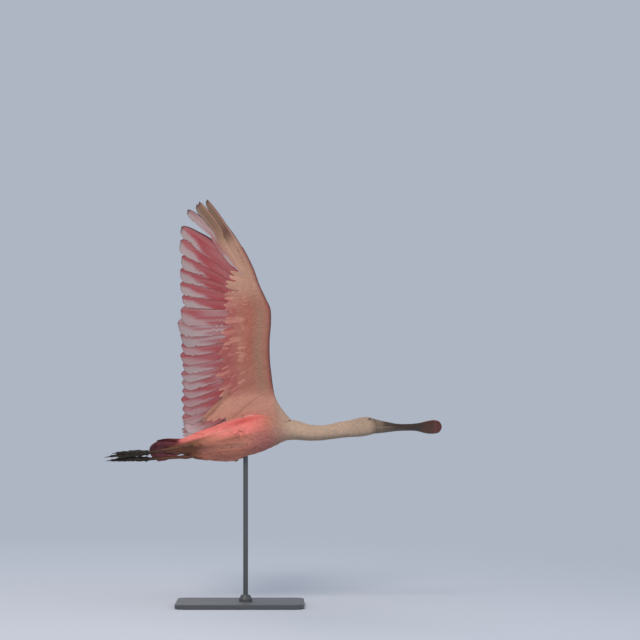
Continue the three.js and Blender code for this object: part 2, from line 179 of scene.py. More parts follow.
@dataclass(frozen=True)
class BodyShape:
    """The middle line and half-sizes of the body from rump to bill, as in the solids."""

    middle: Knots = Knots(
        (-190, -36), (-165, -31), (-132, -24), (-100, -18), (-50, -10), (0, 2), (55, 14), (90, 22),
        (112, 27), (144, 24.6), (166, 18), (201, 15.9), (221, 18.6), (241, 24), (261, 27.7), (281, 30.5),
        (296, 33.9), (311, 36.4), (326, 38.4), (341, 36.7), (352, 35.6),
    )
    half_width: Knots = Knots(
        (-190, 12), (-165, 22), (-132, 26), (-100, 34), (-50, 44), (0, 46), (55, 44), (90, 36),
        (112, 28), (144, 24), (166, 21), (201, 19), (221, 18.5), (261, 18.5), (281, 19.5), (296, 20),
        (311, 20), (326, 19.3), (341, 16.5), (352, 14.8),
    )

    def aspect(self, points: Array) -> tuple[Array, Array]:
        """Tells how a point lies round the body.

        Args:
            points: Bird points in millimetres.

        Returns:
            The elevation in degrees, 90 on the back, 0 on either flank and -90 on the belly, and the
            angle right round, 0 to 1.
        """
        across, up = points[..., 1], points[..., 2] - self.middle(points[..., 0])
        elevation = np.degrees(np.arctan2(up, np.abs(across)))
        return elevation, np.arctan2(across, -up) / (2 * math.pi) + 0.5

    def unwrap(self, points: Array) -> Array:
        """Places on the skin's unwrap, 0 to 1: along the body, and right round it."""
        _, angle = self.aspect(points)
        return np.stack([(points[..., 0] + 200) / 560, angle], -1)


BODY = BodyShape()


@dataclass(frozen=True)
class WingShape:
    """The spread wing in its own plane: t runs outwards from the shoulder and x forwards."""

    out: float = 27.0
    up: float = 45.0
    raise_angle: float = math.radians(50)
    front: Knots = Knots(
        (-20, 134), (-5, 125), (12, 111), (32, 96.5), (52, 87), (72, 82.5), (104, 78.3), (145, 74),
        (192, 73.5), (239, 77), (272, 75.2), (298, 63.5), (334, 47), (375, 32), (422, 8), (464, -21),
        (505, -50.5), (547, -84),
    )
    arm_chord: Knots = Knots(
        (-14, 112), (12, 102), (32, 89), (60, 79), (115, 71), (180, 62), (272, 42), (320, 30), (352, 18)
    )
    arm_thick: Knots = Knots(
        (-14, 34), (12, 32), (32, 30), (60, 27), (115, 20), (180, 16), (272, 12), (320, 9), (352, 5)
    )
    rear_x: float = -150.0
    bend_from: float = 120.0
    bend_to: float = 547.0
    bend_rise: float = 77.0
    fold_below: float = 60.0
    fold_reach: float = 107.0
    fold_drop: float = 14.6
    camber: float = 0.07
    camber_forward: float = 0.7
    hand_end: float = 352.0

    def lift(self, x: Array, t: Array) -> Array:
        """How far the wing's mid plane stands off its flat plane, towards the back."""
        reach = np.maximum(t - self.bend_from, 0) / (self.bend_to - self.bend_from)
        fold = np.maximum(self.fold_below - t, 0) / self.fold_reach
        front = self.front(t)
        chord = front - self.rear_x
        share = np.clip((front - x) / chord, 0, 1)
        arch = self.camber * chord * np.sin(math.pi * share**self.camber_forward)
        return self.bend_rise * reach * reach - self.fold_drop * fold * fold + arch

    def place(self, side: Side, x: Array, t: Array, off: Array) -> Array:
        """Gives the row point of a place on the wing.

        Args:
            side: Which wing.
            x: Forward place in millimetres.
            t: Outward place in millimetres.
            off: Height over the mid plane, towards the back.

        Returns:
            Row points in metres.
        """
        n = self.lift(x, t) + off
        c, s = math.cos(self.raise_angle), math.sin(self.raise_angle)
        out = self.out + t * c - n * s
        up = self.up + t * s + n * c
        return POSE.world(np.stack([np.broadcast_to(x, out.shape), side.value * out, up], -1))

    def seat(self, bird: Array) -> tuple[Array, Array]:
        """Outward place t of bird points on the nearer wing, and their height over its flat plane."""
        out, up = np.abs(bird[..., 1]) - self.out, bird[..., 2] - self.up
        c, s = math.cos(self.raise_angle), math.sin(self.raise_angle)
        return out * c + up * s, up * c - out * s

    def half_depth(self, x: Array, t: Array) -> Array:
        """Half the thickness of the fleshy arm at a place, which fades behind it."""
        chord = self.arm_chord(t)
        share = np.clip((self.front(t) - x) / chord, 0, 1)
        arm = self.arm_thick(t) / 2 * np.sqrt(np.clip(1 - (2 * share - 1) ** 2, 0, 1))
        arm = np.where(t > self.hand_end, 0, arm)
        behind = np.clip((self.front(t) - x) / chord - 0.5, 0, 3)
        fading = self.arm_thick(t) / 2 * np.exp(-1.7 * behind**2)
        return np.where(behind > 0, np.maximum(arm, fading * 0.8), arm)

    def flow(self, t: Array) -> Array:
        """Angle of the feathers that start at t, in radians, outwards from straight back."""
        return np.radians(FLOW(t))


FLOW = Knots(
    (-20, -42), (45, -38), (105, -33), (135, -27), (170, -15), (208, -9), (262, 0), (300, 2), (322, 16),
    (335, 32), (346, 57), (400, 58),
)
CREASE = Knots((-8, -91), (8, -72), (30, -52), (50, -34), (59, -28), (75, -24))
WING = WingShape()


@dataclass(frozen=True)
class Palette:
    """The colours of plumage and bare parts, judged and given as hex values, each turned to linear light."""

    cream: Array = hue("B49A84")
    cream_grey: Array = hue("998572")
    mottle: Array = hue("59493B")
    breast: Array = hue("A6816F")
    coral: Array = hue("E07A71")
    carmine: Array = hue("C95450")
    belly: Array = hue("B87460")
    dusty_rose: Array = hue("A2645F")
    back: Array = hue("CBA9A1")
    crimson: Array = hue("84434A")
    thigh_brown: Array = hue("7E503C")
    rose: Array = hue("98434A")
    deep_rose: Array = hue("8D3630")
    pale_vane: Array = hue("A89394")
    grey_vane: Array = hue("978C8B")
    dusky: Array = hue("3B3032")
    olive_tip: Array = hue("6C5741")
    tan: Array = hue("B08A76")
    covert: Array = hue("A0685A")
    covert_red: Array = hue("9E5A4C")
    covert_beige: Array = hue("957460")
    margin: Array = hue("7C463F")
    axilla: Array = hue("BA8673")
    # Pale feather fringes, also laid as painted highlights on belly, flank and coverts.
    pale_fringe_and_highlight: Array = hue("DDA994")
    upper_pink: Array = hue("CC8787")
    upper_pale: Array = hue("D9B5AE")
    # Painted shade colour, for the crease above the thigh and behind the armpit's feathers.
    fold: Array = hue("6E4A38")
    deep_brown: Array = hue("5C3E34")
    white_quill: Array = hue("D8D2D4")
    shaft: Array = hue("BE9189")
    bill_root: Array = hue("695B4F")
    bill_blade: Array = hue("483C33")
    bill_ridge: Array = hue("4A3C33")
    bill_keel: Array = hue("8D7865")
    # Painted shade for the gape, the grooves and the nostril slits.
    bill_gape_shade: Array = hue("332821")
    bill_groove_shade: Array = hue("33281F")
    nostril: Array = hue("2B211C")
    spoon: Array = hue("63402F")
    spoon_tip: Array = hue("733B36")
    spoon_line: Array = hue("8A5A52")
    eyelid: Array = hue("8A7C6A")
    shank: Array = hue("67402F")
    dark_shank: Array = hue("33241C")
    toe: Array = hue("35312A")


HUES = Palette()


class Plumage:
    """Where each colour lies on the bird, the same for the skin and for its coat.

    Places are millimetres along the bird, or behind the wing's leading edge, and elevations are degrees.
    """

    def body(self, points: Array) -> Array:
        """Colour of the trunk, neck and head.

        Args:
            points: Bird points in millimetres.

        Returns:
            Linear colours.
        """
        x = points[..., 0]
        elevation, _ = BODY.aspect(points)
        above_belly = step(-42, -20, elevation + 0.05 * x) * step(85, 20, x)
        # Painted highlight: speckled light patches low on the belly.
        painted_belly_highlight = bell(-58, 9, elevation) * bell(-20, 45, x) * self.speckle(points * 0.5)
        lower_breast = step(-5, 60, x) * step(0, -45, elevation)
        shoulder_patch = bell(8, 40, x) * bell(20 + 0.25 * x, 12, elevation) * step(70, 30, x)
        # Painted highlight: speckled light patches on the flank.
        painted_flank_highlight = bell(-45, 50, x) * bell(-8, 12, elevation) * self.speckle(points * 0.4)
        # Painted shade: a dark line along the crease above the thigh.
        painted_thigh_crease_shade = bell(-37, 2.6, elevation - 0.03 * x) * step(38, -10, x) * step(-150, -115, x)
        over_back = step(46, 66, elevation) * step(-110, -60, x)
        tint = lay(
            HUES.belly,
            (HUES.coral, above_belly),
            (HUES.pale_fringe_and_highlight, painted_belly_highlight * 0.5),
            (HUES.dusty_rose, lower_breast * 0.7),
            (HUES.carmine, shoulder_patch),
            (HUES.pale_fringe_and_highlight, painted_flank_highlight * 0.5),
            (HUES.fold, painted_thigh_crease_shade * 0.55),
            (HUES.back, over_back),
            (HUES.breast, step(58, 104, x + 0.1 * elevation)),
            (HUES.crimson, step(-128, -172, x)),
            (HUES.cream, step(92, 132, x + 0.12 * elevation)),
        )
        return self.neck(points, tint)

    def neck(self, points: Array, tint: Array) -> Array:
        """Adds the greyer head, painted shade in grey on the underside of neck and head, the specks and the
        brown before the eye to the cream of neck and head.
        """
        x = points[..., 0]
        elevation, _ = BODY.aspect(points)
        greyer_head = step(255, 300, x) * 0.5
        # Painted shade: grey laid on the underside of neck and head, where light from above leaves it dark.
        underside = step(-50, -92, elevation) * step(100, 150, x) * 0.8
        specks = step(0.5, 0.9, self.speckle(points * np.array([0.4, 0.7, 0.7])))
        before_eye = step(320, 336, x - 0.6 * np.abs(points[..., 2] - 44)) * 0.75
        beside_bill = step(324, 346, x) * 0.72
        return lay(
            tint,
            (HUES.cream_grey, np.maximum(greyer_head, underside)),
            (HUES.mottle, step(170, 225, x) * specks * 0.14),
            (HUES.mottle, np.maximum(before_eye, beside_bill)),
        )

    def thigh(self, points: Array) -> Array:
        """Colour of the feathered thighs, browner towards the heel."""
        return mix(HUES.belly, HUES.thigh_brown, step(-62, -116, points[..., 0]))

    def dressed_body(self, points: Array) -> Array:
        """Colour of the body with the thighs blended into it."""
        x, z = points[..., 0], points[..., 2]
        below = step(-2, -16, z - BODY.middle(x))
        beside = step(0.35, 0.7, np.abs(points[..., 1]) / BODY.half_width(x))
        on_body = below * beside * step(-30, -80, x)
        past_body = step(-78, -112, x) * step(0, -14, z + 30)
        return mix(self.body(points), self.thigh(points), np.clip(on_body + past_body, 0, 1))

    def under_coverts(self, x: Array, t: Array) -> Array:
        """Colour of the wing's underside in front of the flight feathers."""
        behind = WING.front(t) - x
        red_band = bell(54, 15, behind) * step(90, 165, t) * step(330, 290, t)
        beige_band = bell(26, 14, behind) * step(20, 80, t) * step(320, 250, t)
        spots = step(0.66, 0.9, self.speckle(np.stack([x * 0.6, t * 0.5, t * 0.9], -1)))
        rear_edge = step(72, 104, behind) * step(30, 80, t) * step(345, 300, t)
        return lay(
            HUES.covert,
            (HUES.covert_red, red_band * 0.8),
            (HUES.covert_beige, beige_band * 0.7),
            (HUES.mottle, spots * bell(30, 18, behind) * step(60, 130, t) * 0.45),
            (HUES.tan, step(270, 335, t) * 0.85),
            (HUES.margin, bell(0, 7, behind) * step(40, 100, t) * 0.9),
            (HUES.dusky, bell(-0.5, 2.2, behind) * step(20, 70, t) * 0.6),
            (HUES.axilla, step(78, 42, t) * step(100, 80, x)),
            (HUES.cream, step(84, 106, x + 0.2 * t) * step(60, 30, t) * 0.8),
            (HUES.carmine, step(14, -4, t) * bell(30, 30, x) * 0.7),
            (HUES.rose, rear_edge * 0.6),
            # Painted shade just behind the tips of the armpit's feathers.
            (HUES.fold, self.armpit(x, t) * 0.6),
        )

    @staticmethod
    def armpit(x: Array, t: Array) -> Array:
        """Shade just behind the tips of the long soft feathers of the armpit, 0 to 1."""
        behind = CREASE(t) - x
        return np.where(behind > -3, bell(0, 11, behind), 0) * step(-24, -8, t) * step(84, 62, t)

    def over_coverts(self, x: Array, t: Array) -> Array:
        """Colour of the wing's upper side in front of the flight feathers."""
        behind = WING.front(t) - x
        lesser_coverts = bell(16, 14, behind) * step(40, 110, t) * step(280, 210, t)
        return lay(
            HUES.upper_pale,
            (HUES.upper_pink, step(10, 60, behind)),
            (HUES.coral, lesser_coverts * 0.75),
            (HUES.back, step(60, 15, t)),
            (HUES.dusky, step(330, 352, t) * bell(0, 16, behind) * 0.5),
        )

    def coverts(self, x: Array, t: Array, over: Array) -> Array:
        """Colour of the wing's coverts, from the underside's at 0 to the upper side's at 1."""
        return mix(self.under_coverts(x, t), self.over_coverts(x, t), over)

    @staticmethod
    def speckle(points: Array) -> Array:
        """Soft repeatable mottling, 0 to 1, about 5 mm across."""
        x, y, z = points[..., 0], points[..., 1], points[..., 2]
        first = np.sin(1.13 * x + 2.1 * np.sin(0.61 * z))
        second = np.sin(1.71 * z + 1.9 * np.sin(0.83 * y + 0.31 * x))
        return 0.5 + 0.25 * (first + second)


PLUMAGE = Plumage()


def wire(
    tree: bpy.types.NodeTree, node: bpy.types.Node, settings: dict | None = None, links: dict | None = None
) -> bpy.types.Node:
    """Gives a shader node its settings and its links.

    Args:
        tree: The node tree.
        node: The node.
        settings: Attribute names, or input names, with their values.
        links: Input names with the output socket that each takes.

    Returns:
        The node.
    """
    for name, value in (settings or {}).items():
        if isinstance(name, str) and hasattr(node, name):
            setattr(node, name, value)
        else:
            node.inputs[name].default_value = value
    for name, socket in (links or {}).items():
        tree.links.new(socket, node.inputs[name])
    return node


def add_node(
    tree: bpy.types.NodeTree, kind: str, settings: dict | None = None, links: dict | None = None
) -> bpy.types.Node:
    """Adds a shader node, named without the ShaderNode prefix, with its settings and its links."""
    return wire(tree, tree.nodes.new("ShaderNode" + kind), settings, links)


def new_material(
    name: str,
) -> tuple[bpy.types.Material, bpy.types.NodeTree, bpy.types.Node, bpy.types.NodeSocket]:
    """Makes a material with one principled shader.

    Args:
        name: The finish's name.

    Returns:
        The material, its tree, its shader node and the socket of the Object coordinates.
    """
    material = bpy.data.materials.new(name)
    material.use_nodes = True
    tree = material.node_tree
    place = add_node(tree, "TexCoord").outputs["Object"]
    return material, tree, tree.nodes["Principled BSDF"], place


@dataclass(frozen=True)
class FeatherFinish:
    """Keratin vanes: dull, a little silky along the barbs, the colour held in each feather's tint."""

    name: str
    roughness: float = 0.72
    sheen: float = 0.05
    specular: float = 0.2
    barb_spacing: float = 0.9
    barb_slant: float = 0.22
    barb_shades: Pair = (0.93, 1.04)
    vane_length: float = 30.0
    bump: float = 0.25
    bump_height: float = 0.2
    cloud_size: float = 6.0
    mottle: float = 0.10

    def build(self) -> bpy.types.Material:
        """Makes the material.

        Returns:
            The material, with barb lines that run outwards and back from each shaft.
        """
        material, tree, shader, place = new_material(self.name)
        tint = add_node(tree, "Attribute", {"attribute_name": TINT})
        # Cloudy unevenness a few millimetres across, as in worn plumage.
        cloudy = {"Scale": 1 / (self.cloud_size * MM), "Detail": 3.0}
        cloud = add_node(tree, "TexNoise", cloudy, {"Vector": place})
        shades = {"To Min": 1 - self.mottle, "To Max": 1 + self.mottle}
        shade = add_node(tree, "MapRange", shades, {"Value": cloud.outputs["Fac"]})
        wave = self.barbs(tree)
        low, high = self.barb_shades
        ridge = add_node(tree, "MapRange", {"From Min": -1.0, "To Min": low, "To Max": high}, {"Value": wave})
        both = add_node(tree, "Math", {"operation": "MULTIPLY"}, {0: shade.outputs[0], 1: ridge.outputs[0]})
        scaled = {0: tint.outputs["Color"], "Scale": both.outputs[0]}
        colour = add_node(tree, "VectorMath", {"operation": "SCALE"}, scaled)
        relief = {"Strength": self.bump, "Distance": self.bump_height * MM}
        bump = add_node(tree, "Bump", relief, {"Height": wave})
        wire(
            tree, shader,
            {"Roughness": self.roughness, "Sheen Weight": self.sheen, "Specular IOR Level": self.specular},
            {"Base Color": colour.outputs[0], "Normal": bump.outputs[0]},
        )
        return material

    def barbs(self, tree: bpy.types.NodeTree) -> bpy.types.NodeSocket:
        """Adds the wave of the barbs, which leave the shaft slantwise.

        They are drawn wider apart than the real half millimetre so that they show.
        """
        vane = add_node(tree, "UVMap", {"uv_map": VANE_MAP})
        split = add_node(tree, "SeparateXYZ", None, {"Vector": vane.outputs["UV"]})
        side = add_node(tree, "Math", {"operation": "ABSOLUTE"}, {0: split.outputs["Y"]})
        slanting = {"operation": "MULTIPLY_ADD", 1: -self.barb_slant}
        slant = add_node(tree, "Math", slanting, {0: side.outputs[0], 2: split.outputs["X"]})
        turns = 2 * math.pi * self.vane_length / self.barb_spacing
        phase = add_node(tree, "Math", {"operation": "MULTIPLY", 1: turns}, {0: slant.outputs[0]})
        return add_node(tree, "Math", {"operation": "SINE"}, {0: phase.outputs[0]}).outputs[0]


@dataclass(frozen=True)
class SkinFinish:
    """Down and skin under the feathers: matte, in the same tints as the coat above it."""

    name: str = "down_over_skin"
    roughness: float = 0.9
    down_size: float = 1.5
    down_shades: Pair = (0.9, 1.05)
    bump: float = 0.5
    bump_height: float = 0.4

    def build(self) -> bpy.types.Material:
        """Makes the material.

        Returns:
            The material, with a fine downy bump.
        """
        material, tree, shader, place = new_material(self.name)
        tint = add_node(tree, "Attribute", {"attribute_name": TINT})
        downy = {"Scale": 1 / (self.down_size * MM), "Detail": 4.0}
        down = add_node(tree, "TexNoise", downy, {"Vector": place})
        low, high = self.down_shades
        shade = add_node(tree, "MapRange", {"To Min": low, "To Max": high}, {"Value": down.outputs["Fac"]})
        scaled = {0: tint.outputs["Color"], "Scale": shade.outputs[0]}
        colour = add_node(tree, "VectorMath", {"operation": "SCALE"}, scaled)
        relief = {"Strength": self.bump, "Distance": self.bump_height * MM}
        bump = add_node(tree, "Bump", relief, {"Height": down.outputs["Fac"]})
        links = {"Base Color": colour.outputs[0], "Normal": bump.outputs[0]}
        wire(tree, shader, {"Roughness": self.roughness}, links)
        return material


@dataclass(frozen=True)
class HornFinish:
    """Dry horn or scaly skin: a tint with darker mottling and a pebbled or wrinkled bump."""

    name: str
    dark: str
    roughness: float = 0.5
    grain: float = 2.0
    mottle: float = 0.5
    mottle_between: Pair = (0.45, 0.75)
    stretch: float = 1.0
    bump: float = 0.35
    bump_height: float = 0.3
    specular: float = 0.25
    plain: str | None = None

    def build(self) -> bpy.types.Material:
        """Makes the material.

        Returns:
            The material, in its one plain colour or in the piece's own tint.
        """
        material, tree, shader, place = new_material(self.name)
        stretched = {"Scale": (1 / self.stretch, 1.0, 1.0)}
        scaled = add_node(tree, "Mapping", stretched, {"Vector": place}).outputs[0]
        broad = {"Scale": 1 / (4 * self.grain * MM), "Detail": 5.0}
        patches = add_node(tree, "TexNoise", broad, {"Vector": scaled})
        pebbles = add_node(tree, "TexVoronoi", {"Scale": 1 / (self.grain * MM)}, {"Vector": scaled})
        low, high = self.mottle_between
        spread = {"From Min": low, "From Max": high, "To Max": self.mottle}
        share = add_node(tree, "MapRange", spread, {"Value": patches.outputs["Fac"]})
        colour = add_node(tree, "Mix", {"data_type": "RGBA"}, {"Factor": share.outputs[0]})
        ground, marks = colour.inputs[6], colour.inputs[7]
        marks.default_value = (*linear(self.dark), 1.0)
        if self.plain:
            ground.default_value = (*linear(self.plain), 1.0)
        else:
            tint = add_node(tree, "Attribute", {"attribute_name": TINT})
            tree.links.new(tint.outputs["Color"], ground)
        relief = {"Strength": self.bump, "Distance": self.bump_height * MM}
        bump = add_node(tree, "Bump", relief, {"Height": pebbles.outputs["Distance"]})
        wire(
            tree, shader, {"Roughness": self.roughness, "Specular IOR Level": self.specular},
            {"Base Color": colour.outputs[2], "Normal": bump.outputs[0]},
        )
        return material


@dataclass(frozen=True)
class EyeFinish:
    """A wet eye: near-black pupil, dark red-brown iris and a clear coat over both."""

    side: Side
    centre: Array
    axis: Array
    pupil: float = 2.1
    pupil_edge: float = 0.3
    iris: float = 4.3
    rings_reach: float = 6.0
    roughness: float = 0.08
    coat_roughness: float = 0.02

    def build(self) -> bpy.types.Material:
        """Makes the material.

        Returns:
            The material, with the rings drawn round the eye's own axis.
        """
        material, tree, shader, place = new_material(f"wet_eye_{self.side.name.lower()}")
        offset = add_node(tree, "VectorMath", {"operation": "SUBTRACT", 1: tuple(self.centre)}, {0: place})
        crossed = {"operation": "CROSS_PRODUCT", 1: tuple(self.axis)}
        across = add_node(tree, "VectorMath", crossed, {0: offset.outputs[0]})
        reach = add_node(tree, "VectorMath", {"operation": "LENGTH"}, {0: across.outputs[0]})
        whole = {"From Max": self.rings_reach * MM}
        size = add_node(tree, "MapRange", whole, {"Value": reach.outputs["Value"]})
        rings = add_node(tree, "ValToRGB", None, {"Fac": size.outputs[0]})
        stops = rings.color_ramp.elements
        stops[0].position = self.pupil / self.rings_reach
        stops[0].color = (*linear("070405"), 1)
        stops[1].position = self.iris / self.rings_reach
        stops[1].color = (*linear("2A120C"), 1)
        iris = stops.new((self.pupil + self.pupil_edge) / self.rings_reach)
        iris.color = (*linear("5A2318"), 1)
        wet = {"Roughness": self.roughness, "Coat Weight": 1.0, "Coat Roughness": self.coat_roughness}
        wire(tree, shader, wet, {"Base Color": rings.outputs["Color"]})
        return material


@dataclass(frozen=True)
class PaintedSteelFinish:
    """Satin powder paint on steel: dark grey with a very fine orange-peel skin."""

    name: str = "powder_painted_steel"
    colour: str = "4A4D50"
    roughness: Pair = (0.38, 0.55)
    peel_size: float = 1.2
    dust_size: float = 60.0
    bump: float = 0.15
    bump_height: float = 0.1

    def build(self) -> bpy.types.Material:
        """Makes the material.

        Returns:
            The material.
        """
        material, tree, shader, place = new_material(self.name)
        fine = {"Scale": 1 / (self.peel_size * MM), "Detail": 2.0}
        peel = add_node(tree, "TexNoise", fine, {"Vector": place})
        coarse = {"Scale": 1 / (self.dust_size * MM), "Detail": 5.0}
        dust = add_node(tree, "TexNoise", coarse, {"Vector": place})
        low, high = self.roughness
        rough = add_node(tree, "MapRange", {"To Min": low, "To Max": high}, {"Value": dust.outputs["Fac"]})
        relief = {"Strength": self.bump, "Distance": self.bump_height * MM}
        bump = add_node(tree, "Bump", relief, {"Height": peel.outputs["Fac"]})
        links = {"Roughness": rough.outputs[0], "Normal": bump.outputs[0]}
        wire(tree, shader, {"Base Color": (*linear(self.colour), 1)}, links)
        return material


def publish(
    piece: bpy.types.Object, material: bpy.types.Material, slot: str, *nodes: str
) -> bpy.types.Object:
    """Dresses a finished piece and ties it to the frame.

    Args:
        piece: The piece.
        material: Its finish.
        slot: The record's material slot; not used.
        nodes: The solids that the piece stands for.

    Returns:
        The piece.
    """
    piece.data.materials.clear()
    piece.data.materials.append(material)
    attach(piece, "root")
    if nodes:
        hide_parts(*nodes)
    LOG.info("%s: %d faces", piece.name, len(piece.data.polygons))
    return piece


def object_from(name: str, form: bmesh.types.BMesh, smooth: bool = True) -> bpy.types.Object:
    """Turns a bmesh into an object at the origin and frees the bmesh."""
    mesh = bpy.data.meshes.new(name)
    form.to_mesh(mesh)
    form.free()
    mesh.polygons.foreach_set("use_smooth", [smooth] * len(mesh.polygons))
    piece = bpy.data.objects.new(name, mesh)
    bpy.context.scene.collection.objects.link(piece)
    return piece


def set_tint(mesh: bpy.types.Mesh, colours: Array) -> None:
    """Stores one linear colour for each point of a mesh."""
    layer = mesh.attributes.new(TINT, "FLOAT_COLOR", "POINT")
    rgba = np.ones((len(colours), 4), np.float32)
    rgba[:, :3] = np.clip(colours, 0, 1)
    layer.data.foreach_set("color", rgba.ravel())


def read_vectors(mesh: bpy.types.Mesh, what: str) -> Array:
    """Reads the places ("co") or the normals ("normal") of a mesh's points."""
    values = np.empty(len(mesh.vertices) * 3)
    mesh.vertices.foreach_get(what, values)
    return values.reshape(-1, 3)


def join_form(whole: bmesh.types.BMesh, part: bmesh.types.BMesh) -> None:
    """Moves one form's faces into another and frees it."""
    mesh = bpy.data.meshes.new("part")
    part.to_mesh(mesh)
    part.free()
    whole.from_mesh(mesh)
    bpy.data.meshes.remove(mesh)


def grid_form(columns: int, rows: int, closed: bool) -> bmesh.types.BMesh:
    """Makes a grid from -1 to 1 each way, or a closed pair of them at heights 0 and 1."""
    form = bmesh.new()
    bmesh.ops.create_grid(form, x_segments=columns, y_segments=rows, size=1)
    if closed:
        bottom = form.faces[:]
        made = bmesh.ops.extrude_face_region(form, geom=bottom, use_keep_orig=True)
        top = [v for v in made["geom"] if isinstance(v, bmesh.types.BMVert)]
        bmesh.ops.translate(form, verts=top, vec=(0, 0, 1))
        bmesh.ops.reverse_faces(form, faces=bottom)
    return form


def unit(vectors: Array) -> Array:
    """Scales each vector to length 1."""
    return vectors / np.maximum(np.linalg.norm(vectors, axis=-1, keepdims=True), 1e-9)


def outward(points: Array, faces: Array) -> Array:
    """Turns a closed form's faces round if they point inwards."""
    a, b, c, d = (points[faces[:, k]] - points.mean(0) for k in range(4))
    volume = (a * np.cross(b, c)).sum() + (a * np.cross(c, d)).sum()
    return faces if volume > 0 else faces[:, ::-1]


def towards(points: Array, faces: Array, way: Array) -> Array:
    """Turns an open form's faces round if its first one looks away from a direction."""
    a, b, c = (points[faces[0][k]] for k in range(3))
    return faces if float(np.cross(b - a, c - b) @ way) > 0 else faces[:, ::-1]


def bake_patches(home: Array, u: Array, v: Array) -> Array:
    """Small patches on the bake map for soft feathers, each at its root's home on the skin's unwrap."""
    return home[:, None] + np.stack([u, v / 2], -1)[None] * PATCH


def bake_cell(number: int, across: int, u: Array, aside: Array) -> Array:
    """Places of one stiff feather in its own square cell of the bake map."""
    corner = np.array([number % across, number // across]) / across
    return (corner + np.stack([0.08 + 0.84 * u, aside], -1) / across)[None]


def two_faces(v: Array, layer: Array) -> Array:
    """Places across a cell of the bake map for the two faces of a vane, side by side."""
    return 0.28 + 0.2 * v + 0.44 * layer


@dataclass(frozen=True)
class VaneForm:
    """The outline of one kind of feather, as a grid of rows along it and columns across it."""

    rows: int
    columns: int
    base: float = 0.45
    widest: float = 0.6
    tip: float = 0.22
    closed: bool = False

    def grid(self) -> tuple[Array, Array, Array, Array]:
        """Makes the grid that every copy of this feather shares.

        Returns:
            For each point the share along, the share across from -1 to 1 and the layer, 0 or 1, and the
            corners of each face.
        """
        form = grid_form(self.columns, self.rows, self.closed)
        form.verts.index_update()
        points = np.array([v.co[:] for v in form.verts])
        faces = np.array([[v.index for v in f.verts] for f in form.faces])
        form.free()
        return (points[:, 1] + 1) / 2, points[:, 0], points[:, 2], faces

    def outline(self, along: Array) -> Array:
        """Half-width share at each share of the length."""
        swell = self.base + (1 - self.base) * np.sin(np.clip(along / self.widest, 0, 1) * math.pi / 2)
        past = np.clip((along - self.widest) / (1 - self.widest), 0, 1)
        rounding = self.tip + (1 - self.tip) * np.sqrt(1 - past**2.2)
        return np.where(along < self.widest, swell, rounding)


@dataclass
class FeatherMesh:
    """Feathers of one kind gathered as arrays and made into one joined mesh."""

    name: str
    points: list[Array] = field(default_factory=list)
    tints: list[Array] = field(default_factory=list)
    bake: list[Array] = field(default_factory=list)
    vane: list[Array] = field(default_factory=list)
    faces: list[Array] = field(default_factory=list)
    count: int = 0

    def add(
        self, points: Array, tints: Array, bake: Array, along: Array, across: Array,
        faces: Array,
    ) -> None:
        """Adds copies of one feather form.

        Args:
            points: Row points in metres, feathers by points by 3.
            tints: Linear colours of the same shape.
            bake: Places on the bake map, feathers by points by 2.
            along: Share along the vane of each point.
            across: Share across the vane of each point.
            faces: Corners of one feather's faces.
        """
        number, size = points.shape[:2]
        first = self.count + size * np.arange(number)
        vane = np.stack([along, across], -1)[None]
        self.points.append(points.reshape(-1, 3))
        self.tints.append(np.broadcast_to(tints, points.shape).reshape(-1, 3))
        self.bake.append(np.broadcast_to(bake, (number, size, 2)).reshape(-1, 2))
        self.vane.append(np.broadcast_to(vane, (number, size, 2)).reshape(-1, 2))
        self.faces.append((faces[None] + first[:, None, None]).reshape(-1, faces.shape[1]))
        self.count += number * size

    def build(self) -> bpy.types.Object:
        """Makes the joined mesh.

        Returns:
            The object, with its tint, its bake map and its vane map.
        """
        points = np.concatenate(self.points)
        faces = np.concatenate(self.faces)
        corners = faces.ravel()
        mesh = bpy.data.meshes.new(self.name)
        mesh.vertices.add(len(points))
        mesh.vertices.foreach_set("co", points.astype(np.float32).ravel())
        mesh.loops.add(len(corners))
        mesh.loops.foreach_set("vertex_index", corners.astype(np.int32))
        mesh.polygons.add(len(faces))
        starts = np.arange(0, len(corners), faces.shape[1], dtype=np.int32)
        mesh.polygons.foreach_set("loop_start", starts)
        mesh.update(calc_edges=True)
        mesh.polygons.foreach_set("use_smooth", [True] * len(faces))
        for label, places in ((BAKE_MAP, self.bake), (VANE_MAP, self.vane)):
            layer = mesh.uv_layers.new(name=label)
            layer.data.foreach_set("uv", np.concatenate(places)[corners].astype(np.float32).ravel())
        set_tint(mesh, np.concatenate(self.tints))
        mesh.validate()
        piece = bpy.data.objects.new(self.name, mesh)
        bpy.context.scene.collection.objects.link(piece)
        return piece


